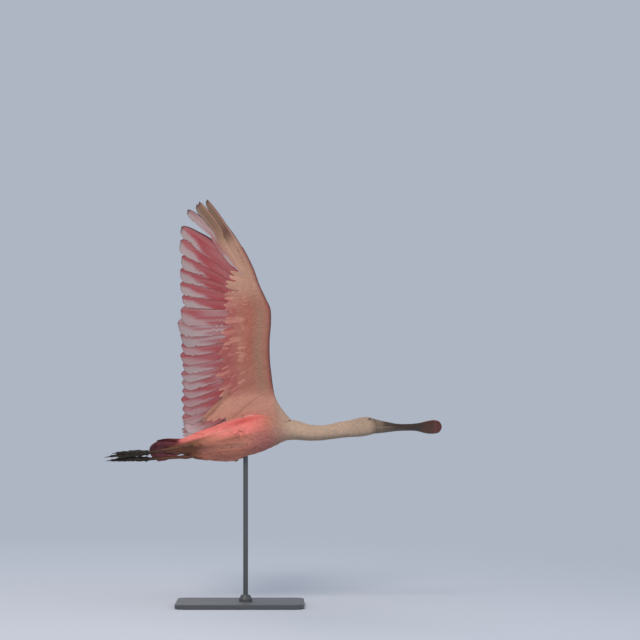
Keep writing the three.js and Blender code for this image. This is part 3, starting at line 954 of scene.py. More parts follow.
@dataclass(frozen=True)
class Skin:
    """One closed skin over trunk, neck, head, thighs and wing arms, inside the solids by the coat's depth."""

    nodes: tuple[str, ...] = (
        "trunk", "neck", "head", "thigh_right", "thigh_left", "wing_right_arm", "wing_left_arm",
    )
    voxel: float = 3.2
    swell: float = 1.3
    weld: float = 0.01
    smoothing: int = 10
    body_depth: float = 3.8
    arm_depth: float = 3.6
    arm_starts: float = 62.0

    def depth(self, points: Array) -> Array:
        """Depth of the coat over the skin in millimetres, least on the face and the wing tips."""
        x = points[..., 0]
        reach = np.hypot(points[..., 1], points[..., 2])
        depth = self.body_depth - 2.0 * step(95, 150, x) - 0.9 * step(250, 300, x) - 0.4 * step(315, 340, x)
        arm = self.arm_depth - 2.4 * step(self.arm_starts, 330, reach)
        depth = np.where(reach > self.arm_starts, np.minimum(depth, arm), depth)
        rump = 4.2 - 2.8 * step(-70, -118, x)
        return np.minimum(depth, rump)

    def joined(self) -> bpy.types.Object:
        """Joins slightly swollen copies of the flesh solids, so that they run into each other."""
        form = bmesh.new()
        for name in self.nodes:
            part = bmesh.new()
            part.from_mesh(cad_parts[name].data)
            bmesh.ops.remove_doubles(part, verts=part.verts, dist=self.weld * MM)
            bmesh.ops.recalc_face_normals(part, faces=part.faces)
            for vert in part.verts:
                vert.co += vert.normal * self.swell * MM
            join_form(form, part)
        return object_from("skin", form)

    def build(self) -> bpy.types.Object:
        """Remeshes the joined solids as one, smooths them and draws the result in.

        Returns:
            The skin.
        """
        skin = self.joined()
        remesh = skin.modifiers.new("one_skin", "REMESH")
        remesh.mode = "VOXEL"
        remesh.voxel_size = self.voxel * MM
        relax = skin.modifiers.new("relax", "SMOOTH")
        relax.factor = 0.5
        relax.iterations = self.smoothing
        evaluated = skin.evaluated_get(bpy.context.evaluated_depsgraph_get())
        mesh = bpy.data.meshes.new_from_object(evaluated)
        skin.modifiers.clear()
        skin.data = mesh
        mesh.name = "skin"
        places, normals = read_vectors(mesh, "co"), read_vectors(mesh, "normal")
        bird = POSE.bird(places)
        inset = self.depth(bird) + self.swell
        places = places - normals * inset[:, None] * MM
        mesh.vertices.foreach_set("co", places.ravel())
        mesh.polygons.foreach_set("use_smooth", [True] * len(mesh.polygons))
        mesh.update()
        set_tint(mesh, self.tint(bird))
        return publish(skin, SkinFinish().build(), "body_plumage", *self.nodes)

    @staticmethod
    def tint(bird: Array) -> Array:
        """Colour of the skin at each place, the same as the coat's above it."""
        x = bird[..., 0]
        t, height = WING.seat(bird)
        wing = PLUMAGE.coverts(x, t, step(-2, 2, height - WING.lift(x, t)))
        return mix(PLUMAGE.dressed_body(bird), wing, step(22, 42, t) * step(130, 100, x))


@dataclass
class ContourCoat:
    """The small feathers of trunk, neck, head and thighs, set on the skin by even random sowing."""

    skin: bpy.types.Object
    rng: np.random.Generator
    spacing: Knots = Knots(
        (-186, 4.6), (-140, 5.6), (-60, 6.4), (40, 6.4), (90, 5.4), (125, 4.0), (180, 3.2), (260, 2.8),
        (300, 2.2), (345, 1.6),
    )
    length_over_spacing: float = 3.6
    width_over_spacing: float = 2.0
    wing_limit: float = 34.0
    wing_root_x: float = 110.0
    neck_starts: float = 118.0
    head_starts: float = 262.0
    border_blur: float = 4.0
    candidates: int = 7
    closeness: float = 0.86
    cell: float = 8.0
    length_vary: float = 0.09
    width_vary: float = 0.06
    thinnest: float = 0.7
    crown: float = 0.22

    def __post_init__(self) -> None:
        """Prepares the search tree over the skin."""
        mesh = self.skin.data
        mesh.calc_loop_triangles()
        corners = np.empty(len(mesh.loop_triangles) * 3, np.int32)
        mesh.loop_triangles.foreach_get("vertices", corners)
        self.places, self.normals = read_vectors(mesh, "co"), read_vectors(mesh, "normal")
        self.triangles = corners.reshape(-1, 3)
        self.tree = BVHTree.FromPolygons(self.places.tolist(), self.triangles.tolist())
        self.roots, self.root_normals, self.gaps = self.sow()

    def sow(self) -> tuple[Array, Array, Array]:
        """Sows feather roots over the skin, closer where the feathers are smaller.

        Returns:
            Root points, their normals and the spacing at each, in row metres and millimetres.
        """
        a, b, c = (self.places[self.triangles[:, k]] for k in range(3))
        area = np.linalg.norm(np.cross(b - a, c - a), axis=1) / 2
        middle = POSE.bird((a + b + c) / 3)
        reach, _ = WING.seat(middle)
        inside = (reach < self.wing_limit) | (middle[:, 0] > self.wing_root_x)
        weight = area * inside / (self.spacing(middle[:, 0]) * MM) ** 2
        total = int(weight.sum() * self.candidates)
        chosen = self.rng.choice(len(weight), total, p=weight / weight.sum())
        share = self.rng.random((total, 2))
        flip = share.sum(1) > 1
        share[flip] = 1 - share[flip]
        u, v = share[:, :1], share[:, 1:]
        roots = a[chosen] * (1 - u - v) + b[chosen] * u + c[chosen] * v
        n = [self.normals[self.triangles[chosen, k]] for k in range(3)]
        normals = unit(n[0] * (1 - u - v) + n[1] * u + n[2] * v)
        gaps = self.spacing(POSE.bird(roots)[:, 0])
        keep = self.spread(roots / MM, gaps)
        return roots[keep], normals[keep], gaps[keep]

    def spread(self, roots: Array, gaps: Array) -> Array:
        """Picks roots so that no two are nearer than about the local gap.

        Args:
            roots: Candidate roots in millimetres.
            gaps: The gap wanted at each.

        Returns:
            The indices that stay.
        """
        taken: dict[tuple[int, int, int], list[int]] = {}
        keys = np.floor(roots / self.cell).astype(int)
        places = roots.tolist()
        kept = []
        nearby = [(i, j, k) for i in (-1, 0, 1) for j in (-1, 0, 1) for k in (-1, 0, 1)]
        for index, (key, gap) in enumerate(zip(map(tuple, keys.tolist()), gaps.tolist())):
            x, y, z = places[index]
            limit = (gap * self.closeness) ** 2
            others = (
                places[other]
                for i, j, k in nearby
                for other in taken.get((key[0] + i, key[1] + j, key[2] + k), ())
            )
            if all((x - ox) ** 2 + (y - oy) ** 2 + (z - oz) ** 2 >= limit for ox, oy, oz in others):
                taken.setdefault(key, []).append(index)
                kept.append(index)
        return np.array(kept)

    def flow(self, bird: Array, normals: Array) -> Array:
        """Direction in which the feathers lie, along the skin.

        Args:
            bird: Root points in the bird's frame.
            normals: Row normals there.

        Returns:
            Unit row directions.
        """
        x, y, z = bird.T
        reach, _ = WING.seat(bird)
        rising = step(10, 46, reach) * step(112, 90, x)
        sinking = bell(60, 45, x) * (z < BODY.middle(x) + 10)
        back = np.stack([np.full_like(x, -1), 0.35 * np.sign(y) * rising, 0.45 * rising - 0.22 * sinking], -1)
        back += self.rng.normal(0, 0.05, back.shape)
        lie = POSE.turn(back)
        lie -= normals * (lie * normals).sum(1, keepdims=True)
        return unit(lie)

    def ends(self, wanted: Array, normals: Array) -> tuple[Array, Array]:
        """Where the feathers' tips come down on the skin, and the normals there.

        Args:
            wanted: Where the tips would be on a flat skin.
            normals: Normals at the roots, kept where the nearest skin faces another way.

        Returns:
            The tips' places and normals.
        """
        ends, facing = np.empty_like(wanted), np.empty_like(wanted)
        for k, place in enumerate(wanted):
            ends[k], facing[k], _, _ = self.tree.find_nearest(place.tolist())
        alike = (facing * normals).sum(1, keepdims=True) > 0.2
        return ends, unit(np.where(alike, facing, normals))

    def feathers(self, mesh: FeatherMesh, picked: Array, form: VaneForm, lift_share: float) -> None:
        """Adds the feathers of the picked roots.

        Args:
            mesh: The set to add to.
            picked: Which roots.
            form: The feathers' form.
            lift_share: Height of the tip over the skin, as a share of the coat's depth.
        """
        roots, normals, gaps = self.roots[picked], self.root_normals[picked], self.gaps[picked, None]
        bird = POSE.bird(roots)
        one_each = (len(roots), 1)
        lie = self.flow(bird, normals)
        length = gaps * self.length_over_spacing * self.rng.normal(1, self.length_vary, one_each) * MM
        width = gaps * self.width_over_spacing / 2 * self.rng.normal(1, self.width_vary, one_each) * MM
        ends, end_normals = self.ends(roots + lie * length, normals)
        depth = np.maximum(Skin().depth(bird), self.thinnest)[:, None] * MM
        u, v, _, faces = form.grid()
        chord = ends - roots
        span = np.linalg.norm(chord, axis=1, keepdims=True)
        turn = np.arccos(np.clip((end_normals * normals).sum(1, keepdims=True), -1, 1))
        bulge = span * turn / 8
        u3, v3 = u[None, :, None], v[None, :, None]
        normal = unit(normals[:, None] * (1 - u3) + end_normals[:, None] * u3)
        rise = depth[:, None] * lift_share * (0.25 + 0.95 * u3 - 0.2 * u3**2)
        rise = rise * self.rng.normal(1, 0.05, (*one_each, 1))
        middle = roots[:, None] + chord[:, None] * u3 + normal * (rise + bulge[:, None] * 4 * u3 * (1 - u3))
        across = unit(np.cross(unit(chord)[:, None], normal))
        half = width[:, None] * form.outline(u)[None, :, None]
        points = middle + across * half * v3 - normal * self.crown * half * v3**2
        tint = self.tint(POSE.bird(points)) * self.rng.normal(1, 0.03, (*one_each, 1))
        shade = 0.93 + 0.11 * u3 + 0.03 * np.abs(v3)
        mesh.add(points, tint * shade, bake_patches(BODY.unwrap(bird), u, v), u, v, faces)

    def tint(self, bird: Array) -> Array:
        """Colour of the coat at bird points, the body's running into the wings'."""
        x = bird[..., 0]
        reach, over = WING.seat(bird)
        wing = PLUMAGE.coverts(x, reach, step(-3, 3, over))
        return mix(PLUMAGE.dressed_body(bird), wing, step(12, 34, reach) * step(108, 92, x))

    def build(self) -> list[bpy.types.Object]:
        """Makes the coat's three pieces.

        Returns:
            The coats of trunk, neck and head.
        """
        x = POSE.bird(self.roots)[:, 0]
        order = np.argsort(x)
        blurred = (x + self.rng.normal(0, self.border_blur, len(x)))[order]
        trunk, head = blurred < self.neck_starts, blurred >= self.head_starts
        body = FeatherFinish("contour_feathers", vane_length=24, bump=0.2).build()
        short = FeatherFinish("short_neck_feathers", vane_length=12, bump=0.15, mottle=0.2).build()
        plans = (
            ("coat_trunk", trunk, VaneForm(5, 4, 0.5, 0.62, 0.2), 0.85, body, "body_plumage"),
            ("coat_neck", ~trunk & ~head, VaneForm(4, 2, 0.5, 0.6, 0.2), 1.0, short, "neck_plumage"),
            ("coat_head", head, VaneForm(3, 2, 0.5, 0.6, 0.25), 1.0, short, "neck_plumage"),
        )
        pieces = []
        for name, chosen, form, lift, finish, slot in plans:
            mesh = FeatherMesh(name)
            self.feathers(mesh, order[chosen], form, lift)
            pieces.append(publish(mesh.build(), finish, slot))
        return pieces


@dataclass
class Quill:
    """One flight feather in the wing's plane, or the tail's: where it starts, ends and how it bends."""

    root: Pair
    tip: Pair
    sweep: float
    outer: float
    inner: float
    narrow_from: float
    narrow_to: float
    blunt: float
    dusk: float
    pale: float
    tan: float
    wash: float
    hug: float = 0.0
    red_rim: float = 0.0
    brown_base: float = 0.0
    white: float = 0.0


@dataclass(frozen=True)
class CovertRow:
    """One row of coverts: its place as a share of the arm's chord, and sizes in millimetres."""

    behind: float
    length: float
    width: float
    gap: float
    rise: float


@dataclass
class Wing:
    """One spread wing: flight feathers, and rows of coverts over and under."""

    side: Side
    rng: np.random.Generator
    primary_tips: tuple[Pair, ...] = (
        (-146.5, 300.5), (-151, 334), (-151, 369.5), (-147.5, 403), (-151, 443),
        (-149, 478), (-133.5, 522), (-111, 535.5), (-105, 542), (-85, 547.5),
    )
    primary_roots: Knots = Knots((0, 281), (3, 322), (6, 335), (10, 346))
    primary_width: tuple[Pair, ...] = (
        (10, 27), (11, 29), (11, 30), (11, 31), (12, 32), (12, 31), (9.5, 27), (8, 26), (7, 24), (5, 21),
    )
    primary_sweep: tuple[float, ...] = (2, 3, 4, 6, 9, 12, 13, 0, 0, 0)
    primary_hug: tuple[float, ...] = (0, 0, 0, 0, 0, 0, 0.3, 1, 1, 1)
    narrow_from: tuple[float, ...] = (1, 1, 1, 1, 1, 0.82, 0.62, 0.66, 0.68, 0.66)
    narrow_to: tuple[float, ...] = (1, 1, 1, 1, 1, 0.8, 0.62, 0.55, 0.5, 0.62)
    secondary_tip_x: Knots = Knots(
        (0, -144), (0.5, -147), (1.5, -157), (2.5, -151), (5.5, -148), (9.5, -147), (11.5, -147),
        (13.5, -132), (14, -124),
    )
    secondary_tip_t: Knots = Knots(
        (0, 284), (0.5, 267), (1.5, 236), (2.5, 205), (5.5, 130), (9.5, 43), (11.5, -2), (13.5, -45),
        (14, -52),
    )
    secondary_pale: tuple[float, ...] = (
        0.7, 1.0, 1.0, 0.55, 0.5, 0.85, 0.9, 0.8, 0.6, 0.5, 0.4, 0.35, 0.3, 0.3,
    )
    secondary_wash: tuple[float, ...] = (
        0.25, 0.75, 0.6, 0.1, 0.05, 0.3, 0.4, 0.3, 0.15, 0.1, 0.2, 0.3, 0.35, 0.4,
    )
    secondary_roots: Knots = Knots((0, 281), (4, 208), (9, 135), (12, 90), (14, 2))
    secondary_count: int = 14
    vane_tilt: float = 1.5
    vane_arch: float = 0.45
    thickness: float = 0.35
    rows: int = 56
    columns: int = 12
    nick_chance: float = 0.14
    nick_depth: float = 0.10
    fray: float = 0.03
    shaft_radius: float = 1.5
    shaft_rise: float = 0.45
    edge_limit: float = 425.0
    first_covert: float = -4.0
    front_margin: float = 0.8
    covert_lift: float = 1.0
    level_lift: float = 0.14
    armpit_rows: int = 5
    armpit_end: float = 70.0

    @property
    def name(self) -> str:
        """The side's name in lower case."""
        return self.side.name.lower()

    @staticmethod
    def quill_root(t: float) -> Pair:
        """Where a quill that leaves the arm at t starts, half-way back through the arm."""
        return float(WING.front(t) - 0.5 * WING.arm_chord(t)), t

    def primary(self, i: int) -> Quill:
        """Describes one primary, counted outwards from 0."""
        outer, inner = self.primary_width[i]
        far = float(step(5.8, 7.5, i))
        return Quill(
            self.quill_root(float(self.primary_roots(i + 0.5))), self.primary_tips[i], self.primary_sweep[i],
            outer, inner, self.narrow_from[i], self.narrow_to[i], blunt=0.35 if i > 5 else 0.5,
            dusk=0.16 + 0.84 * float(step(3.5, 5.5, i)), pale=0.95 - 0.5 * far, tan=far,
            wash=0.05 + 0.8 * float(bell(6, 0.5, i)), hug=self.primary_hug[i], red_rim=float(bell(5, 0.6, i)),
            brown_base=float(bell(9, 0.8, i)),
        )

    def secondary(self, k: int) -> Quill:
        """Describes one secondary or tertial, counted inwards from 0."""
        middle = k + 0.5
        tip_x = float(self.secondary_tip_x(middle)) + self.rng.normal(0, 1.5)
        spread = float(self.secondary_tip_t(k) - self.secondary_tip_t(k + 1.0))
        wash = self.secondary_wash[k] + self.rng.normal(0, 0.06)
        return Quill(
            self.quill_root(float(self.secondary_roots(middle))),
            (tip_x, float(self.secondary_tip_t(middle))),
            -2.0 - 0.4 * k, 0.45 * spread, 1.15 * spread, narrow_from=1, narrow_to=1, blunt=0.5, dusk=0.12,
            pale=self.secondary_pale[k], tan=0.0, wash=float(np.clip(wash, 0, 1)),
            white=float(step(11, 12.5, k)),
        )

    def quills(self) -> list[Quill]:
        """Lists the flight feathers from the outermost primary to the innermost tertial."""
        primaries = [self.primary(i) for i in reversed(range(len(self.primary_tips)))]
        return primaries + [self.secondary(k) for k in range(self.secondary_count)]

    @staticmethod
    def shaft_line(quill: Quill, u: Array) -> Array:
        """Points along a feather's shaft in the wing's plane, bowed or hugging the leading edge."""
        root, tip = np.array(quill.root), np.array(quill.tip)
        along = tip - root
        normal = np.array([-along[1], along[0]]) / np.linalg.norm(along)
        line = root + along * u[:, None] - normal * quill.sweep * (4 * u * (1 - u))[:, None]
        edge = WING.front(line[:, 1]) - WING.front(root[1])
        line[:, 0] += quill.hug * (edge - (WING.front(tip[1]) - WING.front(root[1])) * u)
        return line

    def centre(self, quill: Quill, u: Array) -> tuple[Array, Array, Array, Array]:
        """The shaft's line and the way across it.

        Args:
            quill: The feather.
            u: Shares along it.

        Returns:
            x and t of the line, and the x and t of the unit vector towards the inner vane.
        """
        line = self.shaft_line(quill, u)
        fine = np.linspace(0, 1, 2 * self.rows + 1)
        slope = unit(np.gradient(self.shaft_line(quill, fine), axis=0))
        slope = np.stack([np.interp(u, fine, slope[:, k]) for k in (0, 1)], -1)
        return line[:, 0], line[:, 1], -slope[:, 1], slope[:, 0]

    @staticmethod
    def vane_width(quill: Quill, u: Array, outer: bool) -> Array:
        """Width of one vane along the feather, drawn in towards a fingered tip."""
        full = quill.outer if outer else quill.inner
        share = 0.35 + 0.65 * step(0.0, 0.35, u)
        if quill.narrow_from < 1:
            notch = step(quill.narrow_from - 0.12, quill.narrow_from + 0.04, u)
            share = share * (1 - (1 - quill.narrow_to) * notch)
        rounding_starts = 0.86 if outer else 0.9
        past = np.clip((u - rounding_starts) / (1 - rounding_starts), 0, 1)
        square = quill.blunt * 0.12
        return full * share * (square * (1 - past) + np.sqrt(1 - past**2) * (1 - square) + 0.02)

    def tint(self, quill: Quill, u: Array, v: Array) -> Array:
        """Colour over one flight feather.

        Args:
            quill: The feather.
            u: Shares along.
            v: Shares across, below 0 on the outer vane.

        Returns:
            Linear colours.
        """
        seed = 7.0 * quill.root[1]
        fibre = 0.5 + 0.5 * np.sin(9 * v + 5 * u + seed + 2.2 * np.sin(5 * v - 3 * u + seed))
        wedge_edge = 1.08 - 0.95 * step(0.45, 1.0, u)
        wedge = step(-0.06, 0.32, v + 0.04 * np.sin(31 * u + seed) - wedge_edge) * quill.pale
        inner_half = step(0.4, 0.8, u) * step(-0.1, 0.25, v)
        brown_notch_band = bell(0.62, 0.1, u) * step(-0.3, 0.2, v)
        outer_rim = step(-0.45, -0.85, v) * step(0.25, 0.6, u)
        red_rim = step(-0.3, -0.8, v) * step(0.7, 0.5, u)
        worn_tip = step(0.96, 0.99, u) * (0.15 + 0.6 * quill.dusk)
        return lay(
            HUES.deep_rose,
            (HUES.rose, 0.25 + 0.75 * u),
            (HUES.pale_vane, np.clip(quill.wash * (0.35 + 1.2 * fibre) + 0.16 * fibre, 0, 1)),
            (HUES.tan, quill.tan * (0.95 - 0.25 * step(0.5, 0.9, u))),
            (HUES.pale_vane, wedge),
            (HUES.grey_vane, wedge * step(0.6, 1.0, u) * 0.55),
            (HUES.olive_tip, quill.tan * inner_half * 0.85),
            (HUES.deep_brown, quill.brown_base * brown_notch_band * 0.8),
            (HUES.white_quill, quill.white * step(0.75, 1.0, u) * 0.5),
            (HUES.dusky, outer_rim * quill.dusk),
            (HUES.margin, red_rim * quill.red_rim),
            (HUES.dusky, worn_tip),
        )

    def remiges(self) -> bpy.types.Object:
        """Makes the flight feathers, each a thin closed vane with its shaft standing a little proud.

        Returns:
            The piece.
        """
        mesh = FeatherMesh(f"wing_{self.name}_flight_feathers")
        u, v, layer, faces = VaneForm(self.rows, self.columns, closed=True).grid()
        quills = self.quills()
        across = math.ceil(math.sqrt(len(quills)))
        for number, quill in enumerate(quills):
            ragged = self.ragged_edge(u)
            x, t, px, pt = self.centre(quill, u)
            inner = self.vane_width(quill, u, False) * ragged
            reach = np.where(v < 0, self.vane_width(quill, u, True), inner) * v
            x, t = x + px * reach, t + pt * reach
            tilt = self.vane_tilt * (1 - 0.35 * u) * v
            arch = self.vane_arch * (1 - np.abs(v)) * step(0, 0.3, u)
            off = arch - tilt + (layer - 0.5) * self.thickness * (1 - 0.5 * u)
            points = WING.place(self.side, x, t, off)[None]
            island = bake_cell(number, across, u, two_faces(v, layer))
            colours = self.tint(quill, u, v) * self.rng.normal(1, 0.03)
            # Painted shade behind the tips of the armpit's feathers, laid on the flight feathers.
            colours = mix(colours, HUES.fold, PLUMAGE.armpit(x, t) * 0.7)[None]
            mesh.add(points, colours, island, u, v, outward(points[0], faces))
            self.shaft(mesh, quill, number, across)
        finish = FeatherFinish("flight_feather_vanes", 0.65, barb_spacing=1.4, vane_length=200, bump=0.35)
        nodes = (f"wing_{self.name}_primaries", f"wing_{self.name}_secondaries")
        return publish(mesh.build(), finish.build(), "flight_feathers", *nodes)

    def ragged_edge(self, u: Array) -> Array:
        """Small splits between barbs along a trailing edge, as shares of the vane's width."""
        rows = self.rows + 1
        nicks = self.nick_depth * (self.rng.random(rows) < self.nick_chance)
        width = 1 - nicks - self.fray * self.rng.random(rows)
        return width[np.rint(u * self.rows).astype(int)]

    def shaft(self, mesh: FeatherMesh, quill: Quill, number: int, across: int) -> None:
        """Adds the shaft of one feather, a tapering round rib that shows on both faces."""
        u, v, layer, faces = VaneForm(16, 2, closed=True).grid()
        x, t, px, pt = self.centre(quill, u * 0.985)
        half = self.shaft_radius * (1 - 0.86 * u) * v
        round_rise = np.sqrt(np.clip(1 - v * v, 0.05, 1))
        off = self.shaft_rise + (layer - 0.5) * 2 * round_rise * (1.1 - 0.75 * u)
        points = WING.place(self.side, x + px * half, t + pt * half, off)[None]
        island = bake_cell(number, across, u, 0.95 + 0.01 * v + 0.02 * layer)
        tint = mix(HUES.shaft, HUES.dusky, quill.dusk * step(0.3, 0.8, u) * 0.5)
        tint = mix(tint, HUES.white_quill, np.full_like(u, quill.white))[None]
        mesh.add(points, tint, island, np.zeros_like(u), v, outward(points[0], faces))

    @staticmethod
    def covert_rows() -> list[CovertRow]:
        """The rows of coverts from the trailing row forwards."""
        greater = [
            CovertRow(0.90, 70.0, 14.0, 6.5, 0.6),
            CovertRow(0.78, 54.0, 12.5, 5.6, 0.7),
            CovertRow(0.66, 40.0, 11.0, 5.0, 0.8),
        ]
        small = 11
        places = [0.55 - 0.56 * (k / (small - 1)) ** 0.9 for k in range(small)]
        return greater + [
            CovertRow(place, 30.0 - 1.8 * k, 9.5 - 0.4 * k, 4.4 - 0.16 * k, 0.8)
            for k, place in enumerate(places)
        ]

    def coverts(self, face: Face) -> bpy.types.Object:
        """Makes the coverts of one face of the wing.

        Args:
            face: Under or over.

        Returns:
            The piece.
        """
        label = face.name.lower()
        mesh = FeatherMesh(f"wing_{self.name}_coverts_{label}")
        for level, row in enumerate(self.covert_rows()):
            end = self.edge_limit if row.behind < 0.35 else WING.hand_end - 2
            t = np.arange(self.first_covert, end, row.gap)
            number = len(t)
            t = t + self.rng.normal(0, row.gap * 0.13, number)
            stagger = self.rng.normal(0, 0.8, number) * (row.behind > 0.05)
            x = WING.front(t) - row.behind * WING.arm_chord(t) + stagger
            fan = 0.45 + 0.55 * min(row.behind / 0.6, 1)
            angle = (WING.flow(t) * fan + self.rng.normal(0, 0.05, number)) * (1 - 0.3 * step(352, 380, t))
            hand = 1 - 0.15 * step(285, 345, t) - 0.2 * step(345, 400, t)
            self.sheet(mesh, face, level, row, x, t, angle, hand)
        if face is Face.UNDER:
            self.axillaries(mesh)
        finish = FeatherFinish(f"covert_vanes_{label}_{self.name}", vane_length=30, bump=0.25).build()
        return publish(mesh.build(), finish, "wing_coverts")

    def axillaries(self, mesh: FeatherMesh) -> None:
        """Adds the long soft feathers of the armpit, their tips along the crease."""
        for level in range(self.armpit_rows):
            row = CovertRow(0.5, 66.0 - 5 * level, 15.0, 5.0, 1.2 + 0.5 * level)
            tip_t = np.arange(-7.0, 66.0 - 4 * level, row.gap)
            tip_x = CREASE(tip_t) + 13.0 * level + self.rng.normal(0, 1.5, len(tip_t))
            angle = np.radians(-34 + 0.55 * (tip_t - 20)) + self.rng.normal(0, 0.04, len(tip_t))
            x = tip_x + row.length * np.cos(angle)
            t = tip_t - row.length * np.sin(angle)
            fits = t < self.armpit_end
            self.sheet(mesh, Face.UNDER, 3, row, x[fits], t[fits], angle[fits], np.ones(int(fits.sum())))

    def sheet(
        self, mesh: FeatherMesh, face: Face, level: int, row: CovertRow, x: Array, t: Array,
        angle: Array, scale: Array,
    ) -> None:
        """Adds one row of coverts.

        Args:
            mesh: The set to add to.
            face: Under or over.
            level: The row's number, 0 at the back.
            row: The row's sizes.
            x: Forward places of the roots.
            t: Outward places of the roots.
            angle: Angles of the feathers, outwards from straight back.
            scale: Size of each feather against the row's.
        """
        form = VaneForm(6, 4, 0.5, 0.66, 0.25)
        u, v, _, faces = form.grid()
        number = len(t)
        length = row.length * scale * self.rng.normal(1, 0.07, number)
        width = row.width / 2 * scale * self.rng.normal(1, 0.06, number)
        dx, dt = -np.cos(angle)[:, None], np.sin(angle)[:, None]
        u2, v2 = u[None], v[None]
        half = width[:, None] * form.outline(u)[None] * v2
        px = x[:, None] + dx * length[:, None] * u2 - dt * half
        pt = t[:, None] + dt * length[:, None] * u2 + dx * half
        px = np.minimum(px, WING.front(pt) + self.front_margin)
        stack = row.rise * (0.3 + 0.9 * u2) + self.level_lift * level * (1 - u2 * 0.5)
        crown = 0.08 * np.abs(v2) * width[:, None]
        # The sheet thins out at the leading edge and runs into the body's coat at the wing's root.
        thinned = (0.2 + 0.8 * step(0, 7, WING.front(pt) - px)) * (0.1 + 0.9 * step(-12, 26, pt))
        surface = (self.covert_lift + stack - crown) * thinned + WING.half_depth(px, pt)
        surface = surface * self.rng.normal(1, 0.02, (number, 1))
        points = WING.place(self.side, px, pt, face.value * surface)
        tint = self.covert_tint(face, px, pt, level)
        shade = 0.96 + 0.06 * u2 + 0.04 * v2 * (level < 3)
        fringe = step(0.9, 1.0, u2 + 0.12 * np.abs(v2)) * self.rng.random((number, 1)) * 0.22
        colours = mix(tint * shade[..., None], HUES.pale_fringe_and_highlight, fringe)
        home = np.stack([(x + 160) / 300, (t + 60) / 520], -1)
        wind = towards(points[0], faces, face.value * self.upward())
        mesh.add(points, colours, bake_patches(home, u, v), u, v, wind)

    def covert_tint(self, face: Face, x: Array, t: Array, level: int) -> Array:
        """Colour at each point of the coverts, with chance lighter and darker feathers and painted highlight
        streaks on some underside greater coverts.
        """
        number = len(x)
        tint = PLUMAGE.coverts(x, t, face is Face.OVER)
        if face is Face.UNDER and level < 3:
            # Painted highlight: light streaks along some greater coverts of the underside.
            painted_highlight_streak = (self.rng.random((number, 1)) < 0.4) * self.rng.random((number, 1))
            tint = mix(tint, HUES.pale_fringe_and_highlight, np.broadcast_to(painted_highlight_streak * 0.3, x.shape))
        return tint * self.rng.normal(1, 0.035, (number, 1, 1))

    def upward(self) -> Array:
        """Direction from the wing's mid plane towards the back, at the middle of the arm."""
        x, t = np.zeros(2), np.full(2, 150.0)
        low, high = WING.place(self.side, x, t, np.array([0.0, 1.0]))
        return high - low

    def build(self) -> None:
        """Makes the wing's three pieces."""
        self.remiges()
        self.coverts(Face.UNDER)
        self.coverts(Face.OVER)


